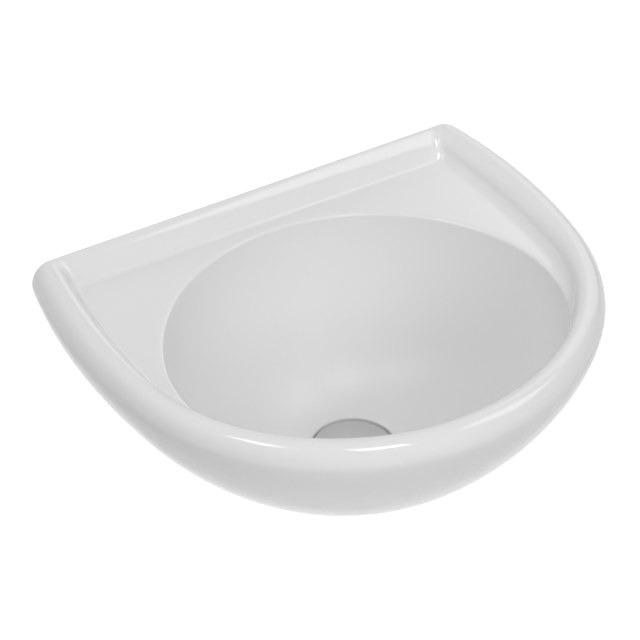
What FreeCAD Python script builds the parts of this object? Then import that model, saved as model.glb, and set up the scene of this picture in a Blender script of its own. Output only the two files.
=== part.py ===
# Wall-hung hand basin with a push-open waste and its wall fixings, in millimetres.
#
# Frame: the origin is on the wall face, midway between the two fixing holes.
# +X is to the right for someone facing the basin, +Y goes into the wall, +Z is up.
# The ceramic is modelled in levels measured down from the top of the rim.
import FreeCAD, Part
import Sketcher
import math
import os

Vector = FreeCAD.Vector

CELLS = {
    # Outer outline of the rim, at its widest level
    "rim_top": 75.0,               # rim above the fixing holes
    "rim_reach": 332.5,            # wall face to the front of the rim
    "rim_front_radius": 202.0,
    "rim_front_angle": 36.5,
    "rim_shoulder_radius": 190.0,
    "rim_shoulder_angle": 44.6,
    "rim_side_radius": 425.0,
    "rim_corner_radius": 10.0,
    "lip_roll": 12.0,              # width of the rounded outer shoulder of the lip
    "lip_drop": 15.4,              # its height
    "lip_back_roll": 3.5,
    # Hull below the rim: sections that shrink about one upright axis
    "hull_axis": 162.0,            # distance of that axis from the wall
    "hull_depth": 156.0,
    "hull_foot_scale": 0.15,
    "hull_fullness": 1.53,
    "wall": 11.0,                  # thickness of the hull shell
    "back_plate": 12.0,            # thickness of the plate against the wall
    "plate_bottom": 122.0,         # level where that plate ends
    "underside_front": 112.0,      # how far the open underside reaches from the wall
    "underside_radius": 50.0,
    "hollow_corner": 5.0,          # plan radius of the hollow's rear corners
    # Recess inside the lip
    "recess_reach": 307.0,
    "recess_front_radius": 183.5,
    "recess_front_angle": 39.7,
    "recess_shoulder_radius": 150.5,
    "recess_shoulder_angle": 47.5,
    "recess_side_radius": 700.0,
    "recess_corner_radius": 7.0,
    "recess_roll": 8.5,
    "recess_wall": 12.0,           # level where the recess wall is upright
    "recess_foot": 2.2,
    "deck_depth": 17.4,
    "upstand_top": 8.0,            # wall face to the top edge of the rear upstand
    "upstand_foot": 25.0,
    # Bowl: four-arc ovals that shrink onto the drain circle
    "bowl_reach": 304.4,
    "bowl_front_radius": 195.6,
    "bowl_front_angle": 29.4,
    "bowl_shoulder_radius": 115.0,
    "bowl_rear_radius": 156.8,
    "bowl_fullness": 1.7,
    "bowl_depth": 142.0,
    "bowl_skin": 9.0,
    "drain_reach": 159.0,          # wall face to the drain's axis
    "drain_radius": 33.0,
    "flange_seat_radius": 32.4,    # counterbore for the waste's flange
    "flange_seat": 150.0,
    "outlet_radius": 23.0,
    "boss_radius": 38.0,
    "boss_bottom": 163.0,
    # Push-open waste, levels below the rim
    "cap_radius": 31.0,
    "cap_top": 142.4,
    "cap_thickness": 3.2,
    "cap_boss_radius": 7.0,
    "cap_boss_length": 4.6,
    "flange_radius": 31.7,
    "flange_top": 146.1,
    "flange_thickness": 2.4,
    "seat_outer_radius": 24.0,
    "seat_drop": 5.0,
    "waste_bore": 17.6,
    "thread_radius": 20.955,       # G 1 1/4 outside
    "thread_edge": 0.7,            # chamfers of the tube and its flange
    "waste_end": 193.0,
    "relief_height": 0.7,          # runout groove below the backnut
    "relief_depth": 0.6,
    "spider_top": 166.0,
    "spider_height": 6.0,
    "hub_radius": 11.2,
    "hub_bore": 8.05,
    "spider_arm": 3.6,
    "top_seal_thickness": 1.4,
    "gasket_height": 5.0,
    "gasket_radius": 33.5,
    "gasket_collar": 3.0,
    "slip_washer_thickness": 1.6,
    "backnut_height": 10.0,
    "backnut_width": 55.0,         # across flats
    "thread_clearance": 0.1,
    # Click cartridge and plug
    "cartridge_radius": 8.0,
    "cartridge_collar": 9.8,
    "cartridge_top": 153.0,
    "cartridge_bottom": 184.5,
    "cartridge_wall": 1.8,
    "cartridge_lid": 2.0,
    "locknut_width": 21.0,
    "locknut_height": 4.0,
    "rod_radius": 3.0,
    "foot_top": 166.5,
    "foot_height": 2.5,
    "running_gap": 0.06,
    "rotor_height": 2.8,
    "plug_seal_radius": 21.8,
    "plug_seal_thickness": 2.1,
    "spring_radius": 4.7,
    "spring_wire": 0.8,
    "spring_turns": 7.0,
    # Wall fixings, M10
    "fixing_spacing": 200.0,
    "fixing_hole": 8.0,
    "bush_collar_radius": 14.0,
    "bush_collar": 4.0,
    "washer_radius": 12.0,
    "washer_thickness": 2.0,
    "nut_width": 17.0,
    "nut_height": 8.0,
    "stud_thread_radius": 4.5,     # M10 at its pitch diameter
    "stud_tail_radius": 5.0,
    "stud_inner_end": 32.0,
    "stud_tail": 42.0,
    "stud_tip": 12.0,
}

# Steps of the profile angle, in degrees, at which the ceramic's sections are drawn
ROLL_STEPS = (0.0, 22.5, 45.0, 67.5, 90.0)
HULL_STEPS = (0.0, 11.25, 22.5, 33.75, 45.0, 56.25, 67.5, 78.75, 90.0)
HOLLOW_STEPS = (11.25, 22.5, 33.75, 45.0, 56.25, 67.5, 78.75, 90.0)
BOWL_STEPS = (0.0, 12.0, 24.0, 36.0, 48.0, 60.0, 72.0, 82.0, 88.0)
SKIN_STEPS = (0.0, 24.0, 36.0, 48.0, 60.0, 72.0, 88.0)

LEAST_CHANGE = 1.0      # mm3 that a loft or a pocket must add or take away

doc = FreeCAD.newDocument("HandBasin")


class Size:
    """A number together with the spreadsheet formula that gives it."""

    def __init__(self, value, formula):
        self.value = float(value)
        self.formula = formula

    def joined(self, other, sign, value):
        return Size(value, f"({self.formula} {sign} {other.formula})")

    def __add__(self, other):
        other = as_size(other)
        return self.joined(other, "+", self.value + other.value)

    def __sub__(self, other):
        other = as_size(other)
        return self.joined(other, "-", self.value - other.value)

    def __mul__(self, other):
        other = as_size(other)
        return self.joined(other, "*", self.value * other.value)

    def __truediv__(self, other):
        other = as_size(other)
        return self.joined(other, "/", self.value / other.value)

    def __rsub__(self, other):
        return as_size(other) - self

    def __rmul__(self, other):
        return as_size(other) * self

    def __rtruediv__(self, other):
        return as_size(other) / self

    def __neg__(self):
        return Size(-self.value, f"(0 - {self.formula})")


def as_size(number):
    return number if isinstance(number, Size) else Size(number, repr(float(number)))


def cell(name):
    """The spreadsheet cell with this alias."""
    return Size(CELLS[name], f"<<Sizes>>.{name}")


def power(base, exponent):
    base, exponent = as_size(base), as_size(exponent)
    return Size(base.value ** exponent.value, f"pow({base.formula}; {exponent.formula})")


def sine(degrees):
    return Size(math.sin(math.radians(degrees)), f"sin({degrees} deg)")


def cosine(degrees):
    return Size(math.cos(math.radians(degrees)), f"cos({degrees} deg)")


def make_sheet():
    sheet = doc.addObject("Spreadsheet::Sheet", "Sizes")
    for row, (name, number) in enumerate(CELLS.items(), start=1):
        sheet.set(f"A{row}", name)
        sheet.set(f"B{row}", str(number))
        sheet.setAlias(f"B{row}", name)
    doc.recompute()


def set_size(item, prop, size):
    """Set a property to a size and bind it to the spreadsheet."""
    size = as_size(size)
    item.setExpression(prop, size.formula)


def make_body(label):
    body = doc.addObject("PartDesign::Body", label)
    body.Label = label
    return body


def place(body, x=0.0, y=0.0, z=0.0):
    """Bind the body's place to the spreadsheet."""
    for axis, size in zip("xyz", (x, y, z)):
        set_size(body, f"Placement.Base.{axis}", size)


def origin_item(body, role):
    """Origin plane or axis of a body, such as XY_Plane or Z_Axis."""
    return next(item for item in body.Origin.OriginFeatures if item.Role == role)


def new_sketch(body, name, role="XY_Plane", height=None):
    sketch = body.newObject("Sketcher::SketchObject", name)
    sketch.AttachmentSupport = [(origin_item(body, role), "")]
    sketch.MapMode = "FlatFace"
    if height is not None:
        set_size(sketch, "AttachmentOffset.Base.z", height)
    return sketch


def datum(sketch, kind, where, size):
    """Add a dimension whose value follows the spreadsheet."""
    size = as_size(size)
    number = math.radians(size.value) if kind == "Angle" else size.value
    unit = " * 1 deg" if kind == "Angle" else ""
    index = sketch.addConstraint(Sketcher.Constraint(kind, *where, number))
    sketch.setExpression(f"Constraints[{index}]", size.formula + unit)


def fix_point(sketch, geometry, point, x, y):
    """Dimension a point from the sketch's origin, or put it on an axis."""
    for kind, size, axis in (("DistanceX", x, -2), ("DistanceY", y, -1)):
        if as_size(size).value == 0.0:
            sketch.addConstraint(Sketcher.Constraint("PointOnObject", geometry, point, axis))
        else:
            datum(sketch, kind, (-1, 1, geometry, point), size)


def draw_polygon(sketch, corners):
    """Closed outline of straight lines through the corners, each given as (x, y)."""
    count = len(corners)
    first = sketch.GeometryCount
    points = [Vector(as_size(x).value, as_size(y).value, 0) for x, y in corners]
    for index in range(count):
        line = Part.LineSegment(points[index], points[(index + 1) % count])
        sketch.addGeometry(line, False)
    for index in range(count):
        following = first + (index + 1) % count
        sketch.addConstraint(Sketcher.Constraint("Coincident", first + index, 2, following, 1))
    for index, (x, y) in enumerate(corners):
        fix_point(sketch, first + index, 1, x, y)


def draw_circle(sketch, x, y, radius):
    x, y, radius = as_size(x), as_size(y), as_size(radius)
    circle = Part.Circle(Vector(x.value, y.value, 0), Vector(0, 0, 1), radius.value)
    index = sketch.addGeometry(circle, False)
    datum(sketch, "Radius", (index,), radius)
    fix_point(sketch, index, 3, x, y)


def draw_hexagon(sketch, across_flats):
    """Regular hexagon about the sketch's origin, with flats facing left and right."""
    half = across_flats / 2
    corner = across_flats / math.sqrt(3)
    side = corner / 2
    draw_polygon(sketch, [(half, -side), (half, side), (0.0, corner),
                          (-half, side), (-half, -side), (0.0, -corner)])


def arc(centre, radius, start, end):
    """Arc of a circle, anticlockwise between two angles in radians."""
    circle = Part.Circle(Vector(centre[0], centre[1], 0), Vector(0, 0, 1), radius)
    return Part.ArcOfCircle(circle, start, end)


def moved(centre, distance, angle):
    return (centre[0] + distance * math.cos(angle), centre[1] + distance * math.sin(angle))


def join_smoothly(sketch, count):
    for index in range(count):
        following = (index + 1) % count
        sketch.addConstraint(Sketcher.Constraint("Tangent", index, 2, following, 1))


def draw_d_outline(sketch, front_centre, radii, angles, corner_radius, rear):
    """D-shaped outline: a front arc, two shoulders, two sides, two corners and a straight rear.

    front_centre is the y of the front arc's centre, radii and angles are those of the front,
    shoulder and side arcs, and rear is the y of the straight edge along the wall.
    """
    front_radius, shoulder_radius, side_radius = (size.value for size in radii)
    half_front, shoulder_turn = (math.radians(size.value) for size in angles)
    corner, wall_y = as_size(corner_radius).value, as_size(rear).value
    down = -math.pi / 2
    centre = (0.0, front_centre.value)
    first_joint = down + half_front
    second_joint = first_joint + shoulder_turn
    shoulder = moved(centre, front_radius - shoulder_radius, first_joint)
    side = moved(shoulder, shoulder_radius - side_radius, second_joint)
    rise = wall_y - corner - side[1]
    reach = math.sqrt((side_radius - corner) ** 2 - rise ** 2)
    corner_centre = (side[0] + reach, wall_y - corner)
    third_joint = math.atan2(rise, reach)
    right = [arc(shoulder, shoulder_radius, first_joint, second_joint),
             arc(side, side_radius, second_joint, third_joint),
             arc(corner_centre, corner, third_joint, math.pi / 2)]
    left = [arc((-corner_centre[0], corner_centre[1]), corner, math.pi / 2, math.pi - third_joint),
            arc((-side[0], side[1]), side_radius, math.pi - third_joint, math.pi - second_joint),
            arc((-shoulder[0], shoulder[1]), shoulder_radius,
                math.pi - second_joint, math.pi - first_joint)]
    straight = Part.LineSegment(Vector(corner_centre[0], wall_y, 0),
                                Vector(-corner_centre[0], wall_y, 0))
    outline = [arc(centre, front_radius, down - half_front, first_joint)]
    sketch.addGeometry(outline + right + [straight] + left, False)
    join_smoothly(sketch, 8)
    for index, twin, radius in ((1, 7, radii[1]), (2, 6, radii[2]), (3, 5, corner_radius)):
        sketch.addConstraint(Sketcher.Constraint("Equal", index, twin))
        datum(sketch, "Radius", (index,), radius)
    datum(sketch, "Radius", (0,), radii[0])
    datum(sketch, "Angle", (0,), angles[0] * 2)
    datum(sketch, "Angle", (1,), angles[1])
    datum(sketch, "Angle", (7,), angles[1])
    sketch.addConstraint(Sketcher.Constraint("Horizontal", 0, 1, 0, 2))
    sketch.addConstraint(Sketcher.Constraint("Horizontal", 4))
    fix_point(sketch, 0, 3, 0.0, front_centre)
    if wall_y == 0.0:
        sketch.addConstraint(Sketcher.Constraint("PointOnObject", 4, 1, -1))
    else:
        datum(sketch, "DistanceY", (-1, 1, 4, 1), rear)


def draw_oval(sketch, front_centre, front_radius, front_angle, shoulder_radius, rear_radius):
    """Oval of four tangent arcs, symmetric about the y axis."""
    down = -math.pi / 2
    centre = (0.0, front_centre.value)
    half_front = math.radians(front_angle.value)
    first_joint = down + half_front
    shoulder = moved(centre, front_radius.value - shoulder_radius.value, first_joint)
    gap = rear_radius.value - shoulder_radius.value
    second_joint = math.acos(shoulder[0] / gap)
    rear_centre = (0.0, shoulder[1] - gap * math.sin(second_joint))
    sketch.addGeometry([
        arc(centre, front_radius.value, down - half_front, first_joint),
        arc(shoulder, shoulder_radius.value, first_joint, second_joint),
        arc(rear_centre, rear_radius.value, second_joint, math.pi - second_joint),
        arc((-shoulder[0], shoulder[1]), shoulder_radius.value,
            math.pi - second_joint, math.pi - first_joint)], False)
    join_smoothly(sketch, 4)
    sketch.addConstraint(Sketcher.Constraint("Equal", 1, 3))
    for index, radius in ((0, front_radius), (1, shoulder_radius), (2, rear_radius)):
        datum(sketch, "Radius", (index,), radius)
    datum(sketch, "Angle", (0,), front_angle * 2)
    sketch.addConstraint(Sketcher.Constraint("Horizontal", 0, 1, 0, 2))
    fix_point(sketch, 0, 3, 0.0, front_centre)


def loft(body, name, kind, sketches):
    """Additive or subtractive loft through the sketches, in order; it must change the solid."""
    before = 0.0 if body.Shape.isNull() else body.Shape.Volume
    feature = body.newObject(f"PartDesign::{kind}Loft", name)
    feature.Profile = sketches[0]
    feature.Sections = sketches[1:]
    feature.Refine = False
    doc.recompute()
    if abs(feature.Shape.Volume - before) < LEAST_CHANGE:
        raise RuntimeError(f"{body.Label}: loft {name} changes nothing")
    return feature


def turn(body, name, corners, kind="Revolution"):
    """Solid of revolution about the body's upright axis; corners are (radius, height)."""
    sketch = new_sketch(body, name + "_profile", "XZ_Plane")
    draw_polygon(sketch, corners)
    feature = body.newObject("PartDesign::" + kind, name)
    feature.Profile = sketch
    feature.ReferenceAxis = (sketch, ["V_Axis"])
    feature.Angle = 360.0
    doc.recompute()
    return feature


def pad(body, name, sketch, length):
    feature = body.newObject("PartDesign::Pad", name)
    feature.Profile = sketch
    set_size(feature, "Length", length)
    doc.recompute()
    return feature


def pocket(body, name, sketch, length, upwards=False, both_ways=False):
    """Pocket from the sketch; it must take material away."""
    before = body.Shape.Volume
    feature = body.newObject("PartDesign::Pocket", name)
    feature.Profile = sketch
    set_size(feature, "Length", length)
    feature.Reversed = upwards
    feature.Midplane = both_ways
    doc.recompute()
    if feature.Shape.Volume >= before - LEAST_CHANGE:
        raise RuntimeError(f"{body.Label}: pocket {name} cuts nothing")
    return feature


# Ceramic basin

def rim_level(depth):
    """Height above the fixing holes of a level given as depth below the rim."""
    return cell("rim_top") - depth


def hull_section(body, name, scale, height, inset, rear, corner):
    """One section of the hull: the rim's front shrunk about the hull axis, then inset.

    The side arcs keep their radius, so that every section runs back to the wall.
    """
    axis = -cell("hull_axis")
    centre = cell("rim_front_radius") - cell("rim_reach")
    radii = [cell("rim_front_radius") * scale - inset,
             cell("rim_shoulder_radius") * scale - inset,
             cell("rim_side_radius") - inset]
    angles = [cell("rim_front_angle"), cell("rim_shoulder_angle")]
    sketch = new_sketch(body, name, height=height)
    draw_d_outline(sketch, axis + (centre - axis) * scale, radii, angles, corner, rear)
    return sketch


def hull_scale(step):
    foot = cell("hull_foot_scale")
    return foot + (1 - foot) * power(cosine(step), 2 / cell("hull_fullness"))


def hull_depth(step):
    drop = cell("lip_drop")
    return drop + (cell("hull_depth") - drop) * power(sine(step), 2 / cell("hull_fullness"))


def bowl_section(body, name, blend, height, offset):
    """One oval of the bowl: the top oval blended into the drain circle, then offset outwards."""
    drain_y, drain = -cell("drain_reach"), cell("drain_radius")
    centre = cell("bowl_front_radius") - cell("bowl_reach")
    sizes = {part: drain + (cell(f"bowl_{part}_radius") - drain) * blend + offset
             for part in ("front", "shoulder", "rear")}
    sketch = new_sketch(body, name, height=height)
    draw_oval(sketch, drain_y + (centre - drain_y) * blend, sizes["front"],
              cell("bowl_front_angle"), sizes["shoulder"], sizes["rear"])
    return sketch


def bowl_blend(step):
    return power(cosine(step), 2 / cell("bowl_fullness"))


def bowl_level(step):
    deck = cell("deck_depth")
    return deck + (cell("bowl_depth") - deck) * power(sine(step), 2 / cell("bowl_fullness"))


def make_hull(body):
    wall_slice = 0.1     # drawn past the wall face and planed off, so that the face is flat
    corner = cell("rim_corner_radius")
    lower = [hull_section(body, f"hull_{index}", hull_scale(step), rim_level(hull_depth(step)),
                          0.0, wall_slice, corner)
             for index, step in enumerate(HULL_STEPS)]
    loft(body, "hull", "Additive", lower)
    upper = []
    for index, step in enumerate(ROLL_STEPS):
        roll = 1 - cosine(step)
        depth = cell("lip_drop") * (1 - sine(step))
        inset = cell("lip_roll") * roll
        back = wall_slice - cell("lip_back_roll") * roll
        upper.append(hull_section(body, f"lip_{index}", as_size(1.0), rim_level(depth),
                                  inset, back, corner - inset * 0.5))
    loft(body, "lip", "Additive", upper)


def make_hollow(body):
    """Space between the hull shell and the bowl, and the open underside at the wall."""
    sections = []
    for index, step in enumerate(HOLLOW_STEPS):
        level = hull_depth(step) - cell("wall") * sine(step)
        sections.append(hull_section(body, f"hollow_{index}", hull_scale(step), rim_level(level),
                                     cell("wall") * cosine(step), -cell("back_plate"),
                                     cell("hollow_corner")))
    loft(body, "hollow", "Subtractive", sections)
    sketch = new_sketch(body, "underside_outline", "YZ_Plane")
    past_wall, below = 5.0, 20.0
    radius, bottom = cell("underside_radius"), cell("plate_bottom")
    front = -cell("underside_front")
    top, low = rim_level(bottom), rim_level(cell("hull_depth") + below)
    bend = front + radius
    corners = [(as_size(past_wall), low), (as_size(past_wall), top), (bend, top),
               (front, top - radius), (front, low)]
    points = [Vector(x.value, y.value, 0) for x, y in corners]
    sketch.addGeometry([Part.LineSegment(points[0], points[1]),
                        Part.LineSegment(points[1], points[2]),
                        arc((bend.value, points[3].y), radius.value, math.pi / 2, math.pi),
                        Part.LineSegment(points[3], points[4]),
                        Part.LineSegment(points[4], points[0])], False)
    joints = ((0, 2, 1, 1), (1, 2, 2, 1), (2, 2, 3, 1), (3, 2, 4, 1), (4, 2, 0, 1))
    for joint in joints:
        kind = "Tangent" if joint[0] in (1, 2) else "Coincident"
        sketch.addConstraint(Sketcher.Constraint(kind, *joint))
    for side in (0, 3):
        sketch.addConstraint(Sketcher.Constraint("Vertical", side))
    for level in (1, 4):
        sketch.addConstraint(Sketcher.Constraint("Horizontal", level))
    datum(sketch, "Radius", (2,), radius)
    fix_point(sketch, 0, 1, past_wall, low)
    datum(sketch, "DistanceY", (-1, 1, 1, 1), top)
    datum(sketch, "DistanceX", (-1, 1, 3, 1), front)
    width = 2.5 * cell("rim_reach")
    pocket(body, "underside", sketch, width, both_ways=True)


def make_bowl_skin(body):
    """Outside of the bowl as it shows in the hollow, and the boss round the outlet."""
    sections = []
    skin, below_deck = cell("bowl_skin"), 4.0
    for index, step in enumerate(SKIN_STEPS):
        level = bowl_level(step) + skin * sine(step) + below_deck * cosine(step)
        sections.append(bowl_section(body, f"skin_{index}", bowl_blend(step), rim_level(level),
                                     skin * cosine(step)))
    loft(body, "bowl_skin", "Additive", sections)
    sketch = new_sketch(body, "boss_outline", height=rim_level(cell("boss_bottom")))
    draw_circle(sketch, 0.0, -cell("drain_reach"), cell("boss_radius"))
    under_bowl = 2.0
    pad(body, "boss", sketch, cell("boss_bottom") - cell("bowl_depth") - under_bowl)


def make_recess(body):
    """Sunk deck inside the lip, with the slanted upstand along the wall."""
    wall_level, deck = cell("recess_wall"), cell("deck_depth")
    foot = cell("recess_foot")
    levels = [(wall_level * (1 - sine(step)), cell("recess_roll") * (1 - cosine(step)))
              for step in reversed(ROLL_STEPS)]
    levels += [((wall_level + deck) / 2, -foot / 4), (deck, -foot)]
    centre = cell("recess_front_radius") - cell("recess_reach")
    angles = [cell("recess_front_angle"), cell("recess_shoulder_angle")]
    sections = []
    for index, (depth, offset) in enumerate(levels):
        slant = cell("upstand_foot") - cell("upstand_top")
        rear = -cell("upstand_top") - slant * depth / deck
        radii = [cell(f"recess_{part}_radius") + offset for part in ("front", "shoulder", "side")]
        sketch = new_sketch(body, f"recess_{index}", height=rim_level(depth))
        draw_d_outline(sketch, centre, radii, angles, cell("recess_corner_radius"), rear)
        sections.append(sketch)
    loft(body, "recess", "Subtractive", sections)


def make_bowl(body):
    lead_in = 3.0        # the first oval stands above the deck, in the open recess
    sections = [bowl_section(body, "bowl_lead_in", as_size(1.0),
                             rim_level(cell("deck_depth") - lead_in), as_size(0.0))]
    sections += [bowl_section(body, f"bowl_{index}", bowl_blend(step),
                              rim_level(bowl_level(step)), as_size(0.0))
                 for index, step in enumerate(BOWL_STEPS)]
    loft(body, "bowl", "Subtractive", sections)


def make_basin():
    """The fired ceramic: hull, lip, recess, bowl, outlet and the two fixing holes."""
    body = make_body("basin")
    make_hull(body)
    make_hollow(body)
    make_bowl_skin(body)
    make_recess(body)
    make_bowl(body)
    drain_y, past = -cell("drain_reach"), 2.0
    sketch = new_sketch(body, "seat_outline", height=rim_level(cell("flange_seat")))
    draw_circle(sketch, 0.0, drain_y, cell("flange_seat_radius"))
    pocket(body, "seat", sketch, cell("flange_seat") - cell("bowl_depth") + past, upwards=True)
    sketch = new_sketch(body, "outlet_outline", height=rim_level(cell("flange_seat") - past))
    draw_circle(sketch, 0.0, drain_y, cell("outlet_radius"))
    pocket(body, "outlet", sketch, cell("boss_bottom") - cell("flange_seat") + 2 * past)
    sketch = new_sketch(body, "fixing_outline", "XZ_Plane")
    for side in (-1, 1):
        draw_circle(sketch, cell("fixing_spacing") / 2 * side, 0.0, cell("fixing_hole"))
    pocket(body, "fixing_holes", sketch, 2 * (cell("back_plate") + past), both_ways=True)
    sketch = new_sketch(body, "wall_face_outline", "XZ_Plane")
    half, top = cell("rim_reach"), cell("rim_top") + past
    low = rim_level(cell("boss_bottom") + past)
    draw_polygon(sketch, [(-half, low), (half, low), (half, top), (-half, top)])
    before = body.Shape.Volume
    pocket(body, "wall_face", sketch, past, upwards=body_grows_towards_wall(sketch))
    print(f"wall face planed off {before - body.Shape.Volume:.0f} mm3")
    return body


def body_grows_towards_wall(sketch):
    """Whether a pocket must be reversed to cut on the wall's side of an XZ sketch."""
    normal = sketch.Placement.Rotation.multVec(Vector(0, 0, 1))
    return normal.y > 0


# Push-open waste. Its bodies stand on the drain's axis, with heights counted from the rim.

def drain_body(label):
    body = make_body(label)
    place(body, 0.0, -cell("drain_reach"), cell("rim_top"))
    return body


def ring(label, inner, outer, top, thickness):
    """Flat ring about the drain's axis, its top given as depth below the rim."""
    body = drain_body(label)
    turn(body, "ring", [(inner, -top - thickness), (outer, -top - thickness),
                        (outer, -top), (inner, -top)])
    return body


def thread_bore():
    return cell("thread_radius") + cell("thread_clearance")


def slip_washer_top():
    """Depth below the rim of the washer between the gasket and the backnut."""
    return cell("boss_bottom") + cell("gasket_height")


def backnut_top():
    return slip_washer_top() + cell("slip_washer_thickness")


def make_waste_body():
    """Brass waste: flange, seat, threaded tube and the three arms that carry the cartridge."""
    body = drain_body("waste_body")
    top, bore, end = -cell("flange_top"), cell("waste_bore"), -cell("waste_end")
    edge, under = cell("thread_edge"), top - cell("flange_thickness")
    thread, groove = cell("thread_radius"), cell("thread_radius") - cell("relief_depth")
    relief = -backnut_top() - cell("backnut_height")
    relief_end = relief - cell("relief_height")
    turn(body, "tube", [
        (cell("seat_outer_radius"), top), (cell("flange_radius") - edge, top),
        (cell("flange_radius"), top - edge), (cell("flange_radius"), under),
        (thread, under), (thread, relief), (groove, relief), (groove, relief_end),
        (thread, relief_end), (thread, end + edge), (thread - edge, end), (bore, end),
        (bore, top - cell("seat_drop"))])
    spider_top, height = -cell("spider_top"), cell("spider_height")
    turn(body, "hub", [(cell("hub_bore"), spider_top - height),
                       (cell("hub_radius"), spider_top - height),
                       (cell("hub_radius"), spider_top), (cell("hub_bore"), spider_top)])
    sketch = new_sketch(body, "arm_outline", height=spider_top - height)
    half, inner, outer = cell("spider_arm") / 2, cell("hub_radius") - 1, bore + 1
    draw_polygon(sketch, [(inner, -half), (outer, -half), (outer, half), (inner, half)])
    arm = pad(body, "arm", sketch, height)
    arms = body.newObject("PartDesign::PolarPattern", "arms")
    arms.Originals = [arm]
    arms.Axis = (origin_item(body, "Z_Axis"), [""])
    arms.Angle = 360.0
    arms.Occurrences = 3
    body.Tip = arms
    doc.recompute()
    return body


def make_plug_cap():
    """Round metal cap with a screwed boss underneath."""
    body = drain_body("plug_cap")
    top, edge = -cell("cap_top"), 0.8
    under = top - cell("cap_thickness")
    hole = cell("rod_radius") + cell("running_gap")
    turn(body, "cap", [
        (0.0, top), (cell("cap_radius") - edge, top), (cell("cap_radius"), top - edge),
        (cell("cap_radius"), under), (cell("cap_boss_radius"), under),
        (cell("cap_boss_radius"), under - cell("cap_boss_length")),
        (hole, under - cell("cap_boss_length")), (hole, rod_top()), (0.0, rod_top())])
    return body


def rod_top():
    thread_engagement = 4.0
    return -cell("cap_top") - cell("cap_thickness") - cell("cap_boss_length") + thread_engagement


def make_plug_seal():
    """Rubber disc under the cap, with an edge that slopes like the seat."""
    body = drain_body("plug_seal")
    top = -cell("cap_top") - cell("cap_thickness")
    low = top - cell("plug_seal_thickness")
    inner, outer = cell("cap_boss_radius") + 0.1, cell("plug_seal_radius")
    turn(body, "seal", [(inner, low), (outer - 0.2, low), (outer + 0.8, top), (inner, top)])
    return body


def make_plunger():
    """Rod that carries the cap, with the foot that the spring pushes up."""
    body = drain_body("plunger")
    foot, rod, tail = -cell("foot_top"), cell("rod_radius"), cell("rod_radius") - 1
    edge, tail_length = 0.4, 5.0
    low = foot - cell("foot_height")
    turn(body, "rod", [
        (0.0, low - tail_length), (tail, low - tail_length), (tail, low), (foot_radius(), low),
        (foot_radius(), foot), (rod, foot), (rod, rod_top() - edge), (rod - edge, rod_top()),
        (0.0, rod_top())])
    return body


def foot_radius():
    return cell("cartridge_radius") - cell("cartridge_wall") - cell("running_gap")


def make_index_rotor():
    """Toothed ring round the rod, which turns at each push and latches the plug."""
    body = drain_body("index_rotor")
    low, height = -cell("foot_top"), cell("rotor_height")
    inner, outer = cell("rod_radius") + 0.1, foot_radius() - 0.24
    turn(body, "ring", [(inner, low), (outer, low), (outer, low + height),
                        (inner, low + height)])
    tooth_depth, half = 1.2, 0.9
    sketch = new_sketch(body, "notch_outline", height=low + height - tooth_depth)
    draw_polygon(sketch, [(0.0, -half), (outer + 1, -half), (outer + 1, half), (0.0, half)])
    notch = pocket(body, "notch", sketch, tooth_depth + 1, upwards=True)
    notches = body.newObject("PartDesign::PolarPattern", "notches")
    notches.Originals = [notch]
    notches.Axis = (origin_item(body, "Z_Axis"), [""])
    notches.Angle = 360.0
    notches.Occurrences = 4
    body.Tip = notches
    doc.recompute()
    return body


def spring_seat():
    return cartridge_floor() + cell("spring_wire") / 2


def cartridge_floor():
    return -cell("cartridge_bottom") + cell("cartridge_lid")


def make_plunger_spring():
    """Round-wire compression spring between the cartridge's floor and the plunger's foot."""
    body = drain_body("plunger_spring")
    wire = cell("spring_wire") / 2
    top = -cell("foot_top") - cell("foot_height") - wire
    sketch = new_sketch(body, "wire_outline", "XZ_Plane")
    draw_circle(sketch, cell("spring_radius"), spring_seat(), wire)
    coil = body.newObject("PartDesign::AdditiveHelix", "coil")
    coil.Profile = sketch
    coil.ReferenceAxis = (sketch, ["V_Axis"])
    coil.Mode = "height-turns-angle"
    set_size(coil, "Height", top - spring_seat())
    set_size(coil, "Turns", cell("spring_turns"))
    doc.recompute()
    return body


def make_cartridge_housing():
    """Closed sleeve that guides the plunger and holds its spring."""
    body = drain_body("cartridge_housing")
    outer, collar = cell("cartridge_radius"), cell("cartridge_collar")
    chamber = outer - cell("cartridge_wall")
    top, low = -cell("cartridge_top"), -cell("cartridge_bottom")
    seat, collar_height = -cell("spider_top"), 2.0
    guide = cell("rod_radius") + cell("running_gap")
    tail_hole = cell("rod_radius") - 0.6
    turn(body, "sleeve", [
        (guide, top), (outer, top), (outer, seat + collar_height),
        (collar, seat + collar_height), (collar, seat), (outer, seat), (outer, low),
        (tail_hole, low), (tail_hole, cartridge_floor()), (chamber, cartridge_floor()),
        (chamber, top - cell("cartridge_lid")), (guide, top - cell("cartridge_lid"))])
    return body


def make_hex_nut(label, across_flats, bore, top, height):
    """Hexagonal nut about the drain's axis, its top given as depth below the rim."""
    body = drain_body(label)
    sketch = new_sketch(body, "outline", height=-top - height)
    draw_hexagon(sketch, across_flats)
    draw_circle(sketch, 0.0, 0.0, bore)
    pad(body, "hexagon", sketch, height)
    return body


def make_lower_gasket():
    """Rubber gasket under the boss, with a collar that centres the tube in the outlet."""
    body = drain_body("lower_gasket")
    top, collar = -cell("boss_bottom"), cell("gasket_collar")
    low = top - cell("gasket_height")
    neck = cell("outlet_radius") - 0.3
    turn(body, "gasket", [
        (thread_bore(), low), (cell("gasket_radius"), low), (cell("gasket_radius"), top),
        (neck, top), (neck, top + collar), (thread_bore(), top + collar)])
    return body


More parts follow.
